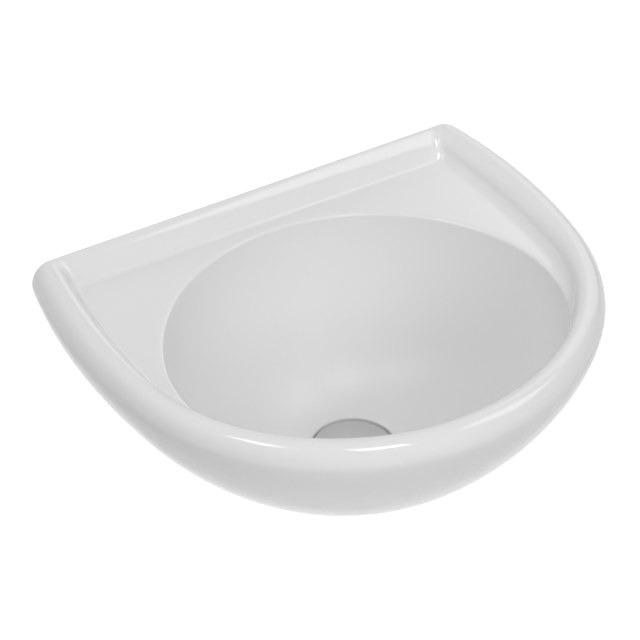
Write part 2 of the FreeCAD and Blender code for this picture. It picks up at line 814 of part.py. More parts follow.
def make_waste():
    """All pieces of the waste, from the cap down to the backnut."""
    flange_bottom = cell("flange_top") + cell("flange_thickness")
    locknut_top = cell("spider_top") + cell("spider_height")
    return [
        make_plug_cap(), make_plug_seal(), make_plunger(), make_index_rotor(),
        make_plunger_spring(), make_cartridge_housing(),
        make_hex_nut("cartridge_locknut", cell("locknut_width"), cell("hub_bore"),
                     locknut_top, cell("locknut_height")),
        make_waste_body(),
        ring("flange_seal", cell("outlet_radius"), cell("flange_radius") - 0.3,
             flange_bottom, cell("flange_seat") - flange_bottom),
        make_lower_gasket(),
        ring("slip_washer", thread_bore() + 0.2, cell("gasket_radius") - 1, slip_washer_top(),
             cell("slip_washer_thickness")),
        make_hex_nut("backnut", cell("backnut_width"), thread_bore(), backnut_top(),
                     cell("backnut_height"))]


# Wall fixings: each body stands at the left hole and is repeated at the right one.

def fixing_body(label):
    body = make_body(label)
    body.AllowCompound = True
    place(body, -cell("fixing_spacing") / 2)
    return body


def repeat_at_right(body, feature):
    pattern = body.newObject("PartDesign::LinearPattern", "pair")
    pattern.Originals = [feature]
    pattern.Direction = (origin_item(body, "X_Axis"), [""])
    set_size(pattern, "Length", cell("fixing_spacing"))
    pattern.Occurrences = 2
    body.Tip = pattern
    doc.recompute()
    if len(body.Shape.Solids) != 2:
        raise RuntimeError(f"{body.Label} is not a pair of solids")
    return body


def turned_pair(label, corners):
    """Pair of solids of revolution about lines into the wall; corners are (radius, y)."""
    body = fixing_body(label)
    sketch = new_sketch(body, "profile")
    draw_polygon(sketch, corners)
    feature = body.newObject("PartDesign::Revolution", "turned")
    feature.Profile = sketch
    feature.ReferenceAxis = (sketch, ["V_Axis"])
    feature.Angle = 360.0
    doc.recompute()
    return repeat_at_right(body, feature)


def bush_face():
    """Distance from the wall to the outer face of the bush's collar."""
    return cell("back_plate") + cell("bush_collar")


def make_hanger_bolts():
    """Studs with a machine thread in front of the wall and a wood-screw thread inside it."""
    thread, tail, edge = cell("stud_thread_radius"), cell("stud_tail_radius"), 0.8
    end = -cell("stud_inner_end")
    return turned_pair("hanger_bolts", [
        (0.0, end), (thread - edge, end), (thread, end + edge), (thread, 0.0), (tail, 0.0),
        (tail, cell("stud_tail")), (0.0, cell("stud_tail") + cell("stud_tip"))])


def make_fixing_bushes():
    bore, face, gap = cell("stud_tail_radius") + 0.2, -bush_face(), 0.2
    sleeve, end = cell("fixing_hole") - gap, -0.5
    return turned_pair("fixing_bushes", [
        (bore, face), (cell("bush_collar_radius"), face),
        (cell("bush_collar_radius"), -cell("back_plate")), (sleeve, -cell("back_plate")),
        (sleeve, as_size(end)), (bore, as_size(end))])


def make_fixing_washers():
    bore, front = cell("stud_tail_radius") + 0.3, -bush_face() - cell("washer_thickness")
    return turned_pair("fixing_washers", [
        (bore, front), (cell("washer_radius"), front), (cell("washer_radius"), -bush_face()),
        (bore, -bush_face())])


def make_fixing_nuts():
    body = fixing_body("fixing_nuts")
    sketch = new_sketch(body, "outline", "XZ_Plane", bush_face() + cell("washer_thickness"))
    draw_hexagon(sketch, cell("nut_width"))
    draw_circle(sketch, 0.0, 0.0, cell("stud_thread_radius") + cell("thread_clearance"))
    return repeat_at_right(body, pad(body, "hexagon", sketch, cell("nut_height")))


def check_and_write(bodies):
    os.makedirs("parts", exist_ok=True)
    failed = [item.Name for item in doc.Objects
              if "Invalid" in item.State or "Error" in item.State]
    if failed:
        raise RuntimeError(f"failed features: {failed}")
    for body in bodies:
        shape = body.Shape
        if shape.isNull() or not shape.isValid():
            raise RuntimeError(f"{body.Label} has no valid shape")
        shape.exportStep(f"parts/{body.Label}.step")
        box = shape.BoundBox
        print(f"{body.Label}: {len(shape.Solids)} solid(s), {shape.Volume / 1000:.2f} cm3, "
              f"x {box.XMin:.1f}..{box.XMax:.1f} y {box.YMin:.1f}..{box.YMax:.1f} "
              f"z {box.ZMin:.1f}..{box.ZMax:.1f}")


make_sheet()
BODIES = [make_basin()] + make_waste() + [make_hanger_bolts(), make_fixing_bushes(),
                                        make_fixing_washers(), make_fixing_nuts()]
doc.recompute()
check_and_write(BODIES)
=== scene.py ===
import math

import bmesh
import bpy
import numpy as np
from bpy.props import FloatProperty, FloatVectorProperty, IntProperty, PointerProperty
from bpy.types import Operator, Panel, PropertyGroup
from mathutils import Matrix, Vector


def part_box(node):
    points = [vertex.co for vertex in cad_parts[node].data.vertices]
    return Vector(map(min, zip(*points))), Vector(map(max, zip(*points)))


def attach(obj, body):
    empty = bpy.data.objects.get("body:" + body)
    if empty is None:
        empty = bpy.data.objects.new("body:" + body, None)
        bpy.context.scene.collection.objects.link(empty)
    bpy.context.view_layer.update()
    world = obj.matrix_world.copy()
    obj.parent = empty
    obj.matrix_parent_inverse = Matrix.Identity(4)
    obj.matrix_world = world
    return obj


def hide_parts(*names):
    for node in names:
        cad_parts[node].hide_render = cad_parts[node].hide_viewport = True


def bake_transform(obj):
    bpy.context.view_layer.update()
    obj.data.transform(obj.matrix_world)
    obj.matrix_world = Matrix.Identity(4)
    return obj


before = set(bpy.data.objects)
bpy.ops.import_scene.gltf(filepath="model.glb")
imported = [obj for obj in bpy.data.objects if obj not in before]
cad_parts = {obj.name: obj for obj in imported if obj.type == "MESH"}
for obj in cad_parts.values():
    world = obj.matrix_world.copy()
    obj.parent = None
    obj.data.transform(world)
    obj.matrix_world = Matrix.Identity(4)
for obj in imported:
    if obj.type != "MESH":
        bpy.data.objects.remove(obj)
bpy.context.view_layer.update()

bl_info = {
    "name": "Wall-hung hand basin",
    "version": (1, 0, 0),
    "blender": (4, 5, 0),
    "location": "3D View > Sidebar > Basin",
    "description": "D-shaped ceramic hand basin with its push-open waste and wall fixings",
    "category": "Add Mesh",
}

MM = 0.001
BASIN_LOW, BASIN_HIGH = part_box("basin")
CAP_LOW, CAP_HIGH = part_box("plug_cap")


# ------------------------------ sizes and colours

def length(name, description, millimetres):
    return FloatProperty(name=name, description=description, default=millimetres * MM,
                         min=0.0, unit="LENGTH", precision=5)


def angle(name, description, degrees):
    return FloatProperty(name=name, description=description, default=math.radians(degrees),
                         subtype="ANGLE")


def share(name, description, number):
    return FloatProperty(name=name, description=description, default=number, min=0.0)


def colour(name, description, red, green, blue):
    return FloatVectorProperty(name=name, description=description, subtype="COLOR",
                               default=(red, green, blue), min=0.0, max=1.0)


class RimSizes(PropertyGroup):
    """Outer outline of the ceramic and the lip along it."""
    front_radius: length("Front radius", "Plan radius of the rim at the front", 202.0)
    front_angle: angle("Front angle", "Half of the front arc", 36.5)
    shoulder_radius: length("Shoulder radius", "Plan radius beside the front arc", 190.0)
    shoulder_angle: angle("Shoulder angle", "Turn of the shoulder arc", 44.6)
    side_radius: length("Side radius", "Plan radius of the long sides", 425.0)
    corner_radius: length("Corner radius", "Plan radius of the rear corners", 10.0)
    lip_roll: length("Lip roll", "Width of the lip's rounded outer side", 14.0)
    lip_drop: length("Lip drop", "Height of the lip's rounded outer side", 15.4)
    back_roll: length("Back roll", "Width of the rounded edge along the wall", 3.5)


class RecessSizes(PropertyGroup):
    """Sunk deck inside the lip."""
    reach: length("Reach", "Wall face to the front of the recess wall", 307.0)
    front_radius: length("Front radius", "Plan radius of the recess at the front", 183.5)
    front_angle: angle("Front angle", "Half of the front arc", 39.7)
    shoulder_radius: length("Shoulder radius", "Plan radius beside the front arc", 150.5)
    shoulder_angle: angle("Shoulder angle", "Turn of the shoulder arc", 47.5)
    side_radius: length("Side radius", "Plan radius of the long sides", 700.0)
    corner_radius: length("Corner radius", "Plan radius of the rear corners", 7.0)
    wall_level: length("Wall level", "Depth at which the recess wall is upright", 12.0)
    front_foot: length("Front foot", "How far the wall's foot leans in at the front", 2.0)
    side_foot: length("Side foot", "How far the wall's foot leans in at the sides", 5.0)
    depth: length("Depth", "Depth of the deck below the rim", 17.4)
    upstand_top: length("Upstand top", "Wall face to the upstand's top edge", 8.0)
    upstand_foot: length("Upstand foot", "Wall face to the upstand's foot", 25.0)
    foot_blend: length("Foot blend", "Softness of the crease at the deck", 5.0)


class BowlSizes(PropertyGroup):
    """Oval bowl that runs down to the round drain."""
    reach: length("Reach", "Wall face to the front of the bowl", 304.4)
    front_radius: length("Front radius", "Plan radius at the front", 195.6)
    front_angle: angle("Front angle", "Half of the front arc", 29.4)
    shoulder_radius: length("Shoulder radius", "Plan radius at the sides", 115.0)
    rear_radius: length("Rear radius", "Plan radius at the rear", 156.8)
    fullness: share("Fullness", "How round the bowl's section is, 2 is an ellipse", 1.7)
    depth: length("Depth", "Depth of the drain's edge below the rim", 142.0)
    drain_radius: length("Drain radius", "Radius of the drain's edge", 33.0)
    edge_blend: length("Edge blend", "Softness of the bowl's upper edge", 4.5)
    skin: length("Skin", "Thickness of the bowl's wall", 9.0)


class HullSizes(PropertyGroup):
    """Outside of the ceramic below the rim."""
    axis: length("Axis", "Wall face to the axis that the sections shrink about", 162.0)
    depth: length("Depth", "Depth of the hull's foot below the rim", 156.0)
    foot_scale: share("Foot scale", "Size of the foot against the rim", 0.15)
    fullness: share("Fullness", "How round the hull's section is, 2 is an ellipse", 1.53)
    wall: length("Wall", "Thickness of the hull's shell", 11.0)
    back_plate: length("Back plate", "Thickness of the plate against the wall", 12.0)
    plate_bottom: length("Plate bottom", "Depth at which that plate ends", 122.0)
    underside_front: length("Underside front", "Wall face to the front of the open underside",
                            112.0)
    underside_radius: length("Underside radius", "Radius of that opening's upper corner", 50.0)
    boss_radius: length("Boss radius", "Radius of the boss round the outlet", 38.0)
    boss_bottom: length("Boss bottom", "Depth of the boss's lower face", 163.0)
    seat_radius: length("Seat radius", "Radius of the recess for the waste's flange", 32.4)
    seat_depth: length("Seat depth", "Depth of that recess below the rim", 150.0)
    outlet_radius: length("Outlet radius", "Radius of the outlet's hole", 23.0)
    fixing_radius: length("Fixing hole", "Radius of the two holes in the back plate", 8.0)


class WasteSizes(PropertyGroup):
    """Push-open waste on the drain's axis."""
    cap_thickness: length("Cap thickness", "Thickness of the cover", 3.2)
    cap_boss: length("Cap boss", "Radius of the screwed boss under the cover", 7.0)
    rod: length("Rod", "Radius of the plunger's rod", 3.0)
    foot_height: length("Foot height", "Height of the plunger's foot", 2.5)
    tail: length("Tail", "Length of the plunger's thin lower end", 5.0)
    flange_thickness: length("Flange thickness", "Thickness of the waste's flange", 2.4)
    seat_radius: length("Seat radius", "Radius of the sloped seat's upper edge", 24.0)
    seat_drop: length("Seat drop", "Height of the sloped seat", 5.0)
    bore: length("Bore", "Radius of the tube's bore", 17.6)
    thread: length("Thread", "Outer radius of the tube's G 1 1/4 thread", 20.955)
    thread_pitch: length("Thread pitch", "Pitch of that thread, 11 to the inch", 2.309)
    thread_depth: length("Thread depth", "Depth of that thread", 1.1)
    relief: length("Relief", "Width and depth of the groove below the backnut", 0.7)
    hub: length("Hub", "Outer radius of the ring that holds the cartridge", 11.2)
    hub_height: length("Hub height", "Height of that ring and its arms", 6.0)
    arm: length("Arm", "Width of each of the three arms", 3.6)
    sleeve: length("Sleeve", "Outer radius of the cartridge", 8.0)
    collar_height: length("Collar height", "Height of the cartridge's collar", 2.0)
    sleeve_wall: length("Sleeve wall", "Wall of the cartridge", 1.8)
    sleeve_pitch: length("Sleeve pitch", "Pitch of the cartridge's thread", 1.0)
    sleeve_thread: length("Sleeve thread", "Depth of the cartridge's thread", 0.45)
    gasket_collar: length("Gasket collar", "Height of the gasket's centring collar", 3.0)
    wire: length("Wire", "Diameter of the spring's wire", 0.8)
    coils: share("Coils", "Turns of the spring", 7.0)


class FixingSizes(PropertyGroup):
    """Studs, bushes, washers and nuts at the wall."""
    thread: length("Thread", "Outer radius of the M10 thread", 5.0)
    pitch: length("Pitch", "Pitch of the machine thread", 1.5)
    depth: length("Depth", "Depth of the machine thread", 0.9)
    screw_pitch: length("Screw pitch", "Pitch of the wood-screw thread", 4.5)
    screw_depth: length("Screw depth", "Depth of the wood-screw thread", 1.3)
    shank: length("Shank", "Length of the wood-screw end up to its tip", 42.0)
    bush_sleeve: length("Bush sleeve", "Radius of the bush inside the ceramic", 7.8)
    bush_collar: length("Bush collar", "Thickness of the bush's collar", 4.0)


class MeshCounts(PropertyGroup):
    """How finely the ceramic is divided."""
    around: IntProperty(name="Around", description="Directions in half of the plan", default=180)
    corner: IntProperty(name="Corner", description="Extra directions at a rear corner", default=50)


class FinishColours(PropertyGroup):
    """Base colours of the finishes."""
    glaze: colour("Glaze", "White glaze", 0.79, 0.79, 0.79)
    bisque: colour("Bisque", "Bare ceramic on the wall face", 0.74, 0.72, 0.68)
    satin: colour("Satin chrome", "Cover of the waste", 0.56, 0.56, 0.56)
    chrome: colour("Chrome", "Polished plate", 0.62, 0.63, 0.64)
    brass: colour("Brass", "Turned brass", 0.6, 0.42, 0.17)
    rubber: colour("Rubber", "Black rubber", 0.02, 0.02, 0.02)
    acetal: colour("Acetal", "White moulded acetal", 0.72, 0.72, 0.7)
    nylon: colour("Nylon", "Natural nylon", 0.66, 0.65, 0.6)
    steel: colour("Spring steel", "Bright spring wire", 0.52, 0.52, 0.53)
    zinc: colour("Zinc", "Zinc-plated steel", 0.55, 0.56, 0.58)


class BasinSettings(PropertyGroup):
    """Everything that a user may change."""
    rim: PointerProperty(type=RimSizes)
    recess: PointerProperty(type=RecessSizes)
    bowl: PointerProperty(type=BowlSizes)
    hull: PointerProperty(type=HullSizes)
    waste: PointerProperty(type=WasteSizes)
    fixings: PointerProperty(type=FixingSizes)
    counts: PointerProperty(type=MeshCounts)
    colours: PointerProperty(type=FinishColours)


def settings(*parts):
    """Groups of the scene's basin settings: one alone, or several in the order asked for."""
    groups = [getattr(bpy.context.scene.basin_settings, part) for part in parts]
    return groups if len(groups) > 1 else groups[0]


# ------------------------------ outlines in plan

RIM_TOP = BASIN_HIGH.z
DRAIN = Vector(((CAP_LOW.x + CAP_HIGH.x) / 2, (CAP_LOW.y + CAP_HIGH.y) / 2))
ARC_STEP, STRAIGHT_POINTS = math.radians(0.3), 200


def arc_points(centre_x, centre_y, radius, start, end):
    """Points on an arc between two directions, measured from the front towards the right."""
    count = max(2, int(abs(end - start) / ARC_STEP))
    turn = np.linspace(start, end, count)
    return np.column_stack((centre_x + radius * np.sin(turn), centre_y - radius * np.cos(turn)))


def d_outline(centre_y, radii, angles, corner, rear):
    """Right half of a D-shaped outline, from the middle of the front to the middle of the rear."""
    front, shoulder, side = radii
    half_front, shoulder_turn = angles
    second = half_front + shoulder_turn
    shoulder_x = (front - shoulder) * math.sin(half_front)
    shoulder_y = centre_y - (front - shoulder) * math.cos(half_front)
    side_x = shoulder_x + (shoulder - side) * math.sin(second)
    side_y = shoulder_y - (shoulder - side) * math.cos(second)
    rise = rear - corner - side_y
    out = math.sqrt((side - corner) ** 2 - rise ** 2)
    third = math.pi / 2 + math.atan2(rise, out)
    corner_x = side_x + out
    straight = np.linspace(corner_x, 0.0, STRAIGHT_POINTS)[1:]
    return np.vstack((
        arc_points(0.0, centre_y, front, 0.0, half_front),
        arc_points(shoulder_x, shoulder_y, shoulder, half_front, second)[1:],
        arc_points(side_x, side_y, side, second, third)[1:],
        arc_points(corner_x, rear - corner, corner, third, math.pi)[1:],
        np.column_stack((straight, np.full(len(straight), rear)))))


def oval_outline(centre_y, front, half_front, shoulder, rear):
    """Right half of an oval of four arcs, from the middle of the front to that of the rear."""
    shoulder_x = (front - shoulder) * math.sin(half_front)
    shoulder_y = centre_y - (front - shoulder) * math.cos(half_front)
    gap = rear - shoulder
    second = math.pi / 2 + math.acos(min(1.0, shoulder_x / gap)) if gap > 0 else math.pi / 2
    rear_y = shoulder_y + gap * math.cos(second)
    return np.vstack((
        arc_points(0.0, centre_y, front, 0.0, half_front),
        arc_points(shoulder_x, shoulder_y, shoulder, half_front, second)[1:],
        arc_points(0.0, rear_y, rear, second, math.pi)[1:]))


def reach(outline, directions):
    """Distance from the drain's axis to the outline in each direction, 0 being the front."""
    x, y = outline[:, 0], outline[:, 1] - DRAIN.y
    return np.interp(directions, np.arctan2(x, -y), np.hypot(x, y))


def rim_outline(scale, inset, rear, corner):
    """Outline of the rim, its front shrunk about the hull's axis, then drawn in by the inset."""
    rim, axis = settings("rim"), -settings("hull").axis
    centre = BASIN_LOW.y + rim.front_radius
    radii = (rim.front_radius * scale - inset, rim.shoulder_radius * scale - inset,
             rim.side_radius - inset)
    return d_outline(axis + (centre - axis) * scale, radii,
                     (rim.front_angle, rim.shoulder_angle), corner, rear)


def recess_outline(offset, rear):
    recess = settings("recess")
    radii = (recess.front_radius + offset, recess.shoulder_radius + offset,
             recess.side_radius + offset)
    return d_outline(recess.front_radius - recess.reach, radii,
                     (recess.front_angle, recess.shoulder_angle), recess.corner_radius, rear)


def bowl_outline(blend, offset):
    """Top oval of the bowl blended into the drain's circle, then drawn out by the offset."""
    bowl = settings("bowl")
    drain = bowl.drain_radius
    centre = DRAIN.y + (bowl.front_radius - bowl.reach - DRAIN.y) * blend
    front, shoulder, rear = (drain + (radius - drain) * blend + offset for radius in
                             (bowl.front_radius, bowl.shoulder_radius, bowl.rear_radius))
    return oval_outline(centre, front, bowl.front_angle, shoulder, rear)


# ------------------------------ sections of the ceramic

SEAT_ROWS, LONG_ROWS, ROLL_ROWS = 4, 240, 60
# Softness of the outlet's edges, of plain surfaces, and of the lip's outer and inner sides.
CRISP, USUAL, OUTER_SOFT, INNER_SOFT = 0.3 * MM, 1 * MM, 2 * MM, 3 * MM
# How far from its edges the outlet's profile ends, and over what height the softness changes.
OUTLET_END, SOFTNESS_CHANGE = 6 * MM, 6 * MM
SEAT_EDGE = 1.5 * MM
# The foot of the recess wall goes from its front lean to its side lean between these directions,
# and stays this far outside the bowl.
FOOT_FRONT, FOOT_SIDE, FOOT_MARGIN = math.radians(40), math.radians(80), 0.4 * MM
SOFTEN_SAMPLES = 15
CORNER_SPREAD = math.radians(6)


def quarter(count):
    return np.linspace(0.0, math.pi / 2, count)


def smooth_step(values, start, end):
    part = ((values - start) / (end - start)).clip(0.0, 1.0)
    return part * part * (3 - 2 * part)


def bowl_levels(turn):
    """Blend towards the top oval and depth below the rim, at an angle of the bowl's section."""
    bowl, deck = settings("bowl"), settings("recess").depth
    power = 2 / bowl.fullness
    return (np.cos(turn).clip(0) ** power,
            deck + (bowl.depth - deck) * np.sin(turn) ** power)


def hull_levels(turn):
    """Scale of the rim's outline and depth below the rim, at an angle of the hull's section."""
    hull, drop = settings("hull"), settings("rim").lip_drop
    power = 2 / hull.fullness
    return (hull.foot_scale + (1 - hull.foot_scale) * np.cos(turn).clip(0) ** power,
            drop + (hull.depth - drop) * np.sin(turn) ** power)


def recess_wall(directions, level, lean):
    """Distance to the recess wall at a level, leaned in; the upstand slants with the level."""
    recess = settings("recess")
    slant = (recess.upstand_foot - recess.upstand_top) / recess.depth
    return reach(recess_outline(-lean, -recess.upstand_top - slant * level), directions)


def recess_foot(directions):
    """Foot of the recess wall at the deck, never inside the bowl's edge."""
    recess = settings("recess")
    front, side = (recess_wall(directions, recess.depth, lean)
                   for lean in (recess.front_foot, recess.side_foot))
    towards_side = smooth_step(directions, FOOT_FRONT, FOOT_SIDE)
    edge = reach(bowl_outline(1.0, 0.0), directions) + FOOT_MARGIN
    return np.maximum(front + (side - front) * towards_side, edge)


def profile_through(directions):
    """Section of the ceramic in each direction, from the outlet over the lip to the boss.

    Gives the distances from the drain's axis, the depths, and the softness of the edges.
    """
    rim, recess, bowl, hull = settings("rim", "recess", "bowl", "hull")
    distance, depth, soft = [], [], []

    def add(radii, level, softness):
        distance.append(np.broadcast_to(radii, directions.shape))
        depth.append(level)
        soft.append(softness)

    add(hull.outlet_radius, hull.seat_depth + OUTLET_END, CRISP)
    add(hull.outlet_radius, hull.seat_depth, CRISP)
    add(hull.seat_radius, hull.seat_depth, CRISP)
    add(hull.seat_radius, bowl.depth + SEAT_EDGE, CRISP)
    blends, levels = bowl_levels(quarter(LONG_ROWS)[::-1])
    for blend, level in zip(blends, levels):
        softness = np.interp(level, (recess.depth, recess.depth + SOFTNESS_CHANGE,
                                     bowl.depth - SOFTNESS_CHANGE, bowl.depth),
                             (bowl.edge_blend, USUAL, USUAL, CRISP))
        add(reach(bowl_outline(blend, 0.0), directions), level, softness)
    add(recess_foot(directions), recess.depth, recess.foot_blend)
    wall_top = recess_wall(directions, 0.0, 0.0)
    crest = reach(rim_outline(1.0, rim.lip_roll, -rim.back_roll, rim.corner_radius / 2),
                  directions)
    for turn in quarter(ROLL_ROWS):
        level = recess.wall_level * (1 - math.sin(turn))
        ridge = (crest - wall_top) * (1 - math.cos(turn))
        add(recess_wall(directions, level, 0.0) + ridge, level, INNER_SOFT)
    for turn in quarter(ROLL_ROWS)[-2::-1]:
        roll = 1 - math.cos(turn)
        corner = rim.corner_radius * (1 - roll / 2)
        outline = rim_outline(1.0, rim.lip_roll * roll, -rim.back_roll * roll, corner)
        add(reach(outline, directions), rim.lip_drop * (1 - math.sin(turn)), OUTER_SOFT)
    scales, levels = hull_levels(quarter(LONG_ROWS)[1:])
    for scale, level in zip(scales, levels):
        add(reach(rim_outline(scale, 0.0, 0.0, rim.corner_radius), directions), level, USUAL)
    add(hull.boss_radius, hull.depth, USUAL)
    add(hull.boss_radius, hull.boss_bottom, CRISP)
    add(hull.outlet_radius, hull.boss_bottom, CRISP)
    add(hull.outlet_radius, hull.boss_bottom - OUTLET_END, CRISP)
    return np.array(distance).T, np.array(depth), np.array(soft)


def soften(distance, depth, soft, marks):
    """Rounds the corners of one section and samples it at the marks.

    The section is averaged over a short stretch of its length, as wide as its softness.
    """
    run = np.concatenate(([0.0], np.cumsum(np.hypot(np.diff(distance), np.diff(depth)))))
    places = np.interp(marks, np.arange(len(run)), run)
    width = np.interp(places, run, soft)
    share_out = np.linspace(-1, 1, SOFTEN_SAMPLES)
    weights = 1 - np.abs(share_out)
    weights /= weights.sum()
    spots = places[:, None] + width[:, None] * share_out[None, :]
    inside = spots.clip(0, run[-1])
    return (np.interp(inside, run, distance) @ weights, np.interp(inside, run, depth) @ weights)


def ceramic_directions():
    """Directions from the front to the rear on the right side, closer at the rear corner."""
    counts, rim = settings("counts", "rim")
    corner_x = BASIN_HIGH.x - 2 * rim.corner_radius
    corner = math.pi / 2 + math.atan2(-rim.corner_radius - DRAIN.y, corner_x)
    even = np.linspace(0.0, math.pi, counts.around)
    extra = corner + CORNER_SPREAD * np.linspace(-1, 1, counts.corner)
    return np.sort(np.concatenate((even, extra)))


def grid_mesh(name, rings, closed_profile):
    """Mesh through rings of points, each ring going once round."""
    rows, around, _ = rings.shape
    mesh = bpy.data.meshes.new(name)
    row, column = np.meshgrid(np.arange(rows if closed_profile else rows - 1),
                              np.arange(around), indexing="ij")
    below, beside = (row + 1) % rows, (column + 1) % around
    faces = np.stack((row * around + column, row * around + beside,
                      below * around + beside, below * around + column), axis=-1)
    mesh.from_pydata(rings.reshape(-1, 3).tolist(), [], faces.reshape(-1, 4).tolist())
    return mesh


def mirrored_rings(distance, depth, directions):
    """Rings of points right round the drain's axis from a half on the right side."""
    turn = np.concatenate((directions, -directions[1:-1][::-1]))
    both = np.concatenate((distance, distance[1:-1][::-1]))
    down = np.concatenate((depth, depth[1:-1][::-1]))
    return np.stack((both * np.sin(turn)[:, None] + DRAIN.x,
                     DRAIN.y - both * np.cos(turn)[:, None], RIM_TOP - down), axis=-1)


def new_object(name, data):
    made = bpy.data.objects.new(name, data)
    bpy.context.scene.collection.objects.link(made)
    return made


def piece_from(name, work):
    """New piece from a bmesh, which is used up."""
    mesh = bpy.data.meshes.new(name)
    work.to_mesh(mesh)
    work.free()
    return new_object(name, mesh)


def join(name, parts):
    """One piece from several."""
    work = bmesh.new()
    for part in parts:
        work.from_mesh(part.data)
        bpy.data.objects.remove(part)
    return piece_from(name, work)


def close_ends(mesh):
    """Fills the open rims of a mesh and turns its faces outwards."""
    work = bmesh.new()
    work.from_mesh(mesh)
    open_edges = [edge for edge in work.edges if edge.is_boundary]
    if open_edges:
        bmesh.ops.holes_fill(work, edges=open_edges)
    bmesh.ops.recalc_face_normals(work, faces=work.faces)
    work.to_mesh(mesh)
    work.free()


def section_marks():
    """Where along the raw section the mesh's rings go: closer where it bends."""
    step = [0, 0.5, 0.9, 1, 1.1, 1.5, 1.9, 2, 2.1, 2.5]
    seat = step + [2.9, 3]
    bowl_end = SEAT_ROWS + LONG_ROWS - 1
    crest = bowl_end + 1 + ROLL_ROWS
    hull_start = crest + ROLL_ROWS - 1
    hull_end = hull_start + LONG_ROWS - 1
    bowl = SEAT_ROWS + np.linspace(0, LONG_ROWS - 15, 42)
    edge = bowl_end - np.array([12, 10, 8, 6.5, 5, 3.8, 2.6, 1.6, 0.8])
    deck = bowl_end + np.array([0, 0.02, 0.06, 0.12, 0.2, 0.32, 0.5, 0.68, 0.8, 0.88, 0.94, 0.98])
    wall = bowl_end + 1 + np.array([0, 0.12, 0.3, 0.5, 0.7, 0.85])
    inner = bowl_end + 2 + np.linspace(0, ROLL_ROWS - 2.5, 17)
    outer = crest + np.linspace(0, ROLL_ROWS - 1, 19)
    hull = hull_start + np.linspace(4, LONG_ROWS - 2, 44)
    tail = hull_end + np.array([0.3, 0.7, 0.95] + [1 + part for part in step] + [3.9])
    return np.concatenate((seat, bowl, edge, deck, wall, inner, outer, hull, tail))


def ceramic_shell():
    """Ceramic as a solid with its bowl, before the hollow behind the bowl is taken out."""
    directions = ceramic_directions()
    distance, depth, soft = profile_through(directions)
    marks = section_marks()
    softened = [soften(row, depth, soft, marks) for row in distance]
    rings = mirrored_rings(np.array([pair[0] for pair in softened]),
                           np.array([pair[1] for pair in softened]), directions)
    mesh = grid_mesh("basin", rings.transpose(1, 0, 2), closed_profile=True)
    close_ends(mesh)
    return mesh


def stacked_solid(name, outlines, depths, directions):
    """Closed solid through outlines, one above another."""
    distance = np.array([reach(outline, directions) for outline in outlines]).T
    depth = np.broadcast_to(np.array(depths), distance.shape)
    rings = mirrored_rings(distance, depth, directions).transpose(1, 0, 2)
    mesh = grid_mesh(name, rings, closed_profile=False)
    close_ends(mesh)
    return new_object(name, mesh)


def applied(piece, step):
    """The piece's mesh with one modifier applied, which is then removed."""
    graph = bpy.context.evaluated_depsgraph_get()
    made = bpy.data.meshes.new_from_object(piece.evaluated_get(graph))
    piece.modifiers.remove(step)
    return made


def cut(target, tool, operation="DIFFERENCE"):
    """Boolean of the target with the tool, which is used up."""
    step = target.modifiers.new("cut", "BOOLEAN")
    step.operation = operation
    step.solver = "MANIFOLD"
    step.object = tool
    made = applied(target, step)
    if not made.polygons:
        raise RuntimeError(f"cutting {target.name} with {tool.name} left nothing")
    target.data = made
    bpy.data.objects.remove(tool)
    return target


HOLLOW_DIRECTIONS, HOLLOW_CORNER = 90, 5 * MM
# Angles of the hull's and the bowl's section at which the hollow has its outlines.
HULL_TURNS = np.radians(np.linspace(11.25, 90.0, 22))
BOWL_TURNS = np.radians(np.linspace(0.0, 88.0, 20))
# Extra thickness under the deck, and how far above the hull's foot the bowl's skin ends.
DECK_EXTRA, SKIN_STOP = 4 * MM, 2 * MM


def hollow_solid():
    """Space between the hull's shell and the bowl."""
    hull, bowl = settings("hull", "bowl")
    directions = np.linspace(0.0, math.pi, HOLLOW_DIRECTIONS)
    scales, levels = hull_levels(HULL_TURNS)
    outlines = [rim_outline(scale, hull.wall * math.cos(turn), -hull.back_plate, HOLLOW_CORNER)
                for scale, turn in zip(scales, HULL_TURNS)]
    depths = levels - hull.wall * np.sin(HULL_TURNS)
    hollow = stacked_solid("hollow", outlines, depths, directions)
    blends, levels = bowl_levels(BOWL_TURNS)
    outlines = [bowl_outline(blend, bowl.skin * math.cos(turn))
                for blend, turn in zip(blends, BOWL_TURNS)]
    depths = levels + bowl.skin * np.sin(BOWL_TURNS) + DECK_EXTRA * np.cos(BOWL_TURNS)
    depths[-1] = hull.depth - SKIN_STOP
    skin = stacked_solid("skin", outlines, depths, directions)
    return cut(hollow, skin)


def prism(name, corners, half_width):
    """Solid between x = -half_width and half_width through corners in Y and Z."""
    work = bmesh.new()
    left = [work.verts.new((-half_width, y, z)) for y, z in corners]
    face = work.faces.new(left)
    pulled = bmesh.ops.extrude_face_region(work, geom=[face])
    for item in pulled["geom"]:
        if isinstance(item, bmesh.types.BMVert):
            item.co.x = half_width
    bmesh.ops.recalc_face_normals(work, faces=work.faces)
    return piece_from(name, work)


def underside_solid():
    """Open underside near the wall, with its rounded upper front corner."""
    hull = settings("hull")
    past_wall, past_foot = 5 * MM, 20 * MM
    low = RIM_TOP - hull.depth - past_foot
    top, radius = RIM_TOP - hull.plate_bottom, hull.underside_radius
    centre_y, centre_z = -hull.underside_front + radius, top - radius
    bend = [(centre_y - radius * math.sin(turn), centre_z + radius * math.cos(turn))
            for turn in quarter(24)]
    corners = [(past_wall, low), (past_wall, top)] + bend + [(-hull.underside_front, low)]
    return prism("underside", corners, -BASIN_LOW.y)


ROD_SIDES = 64


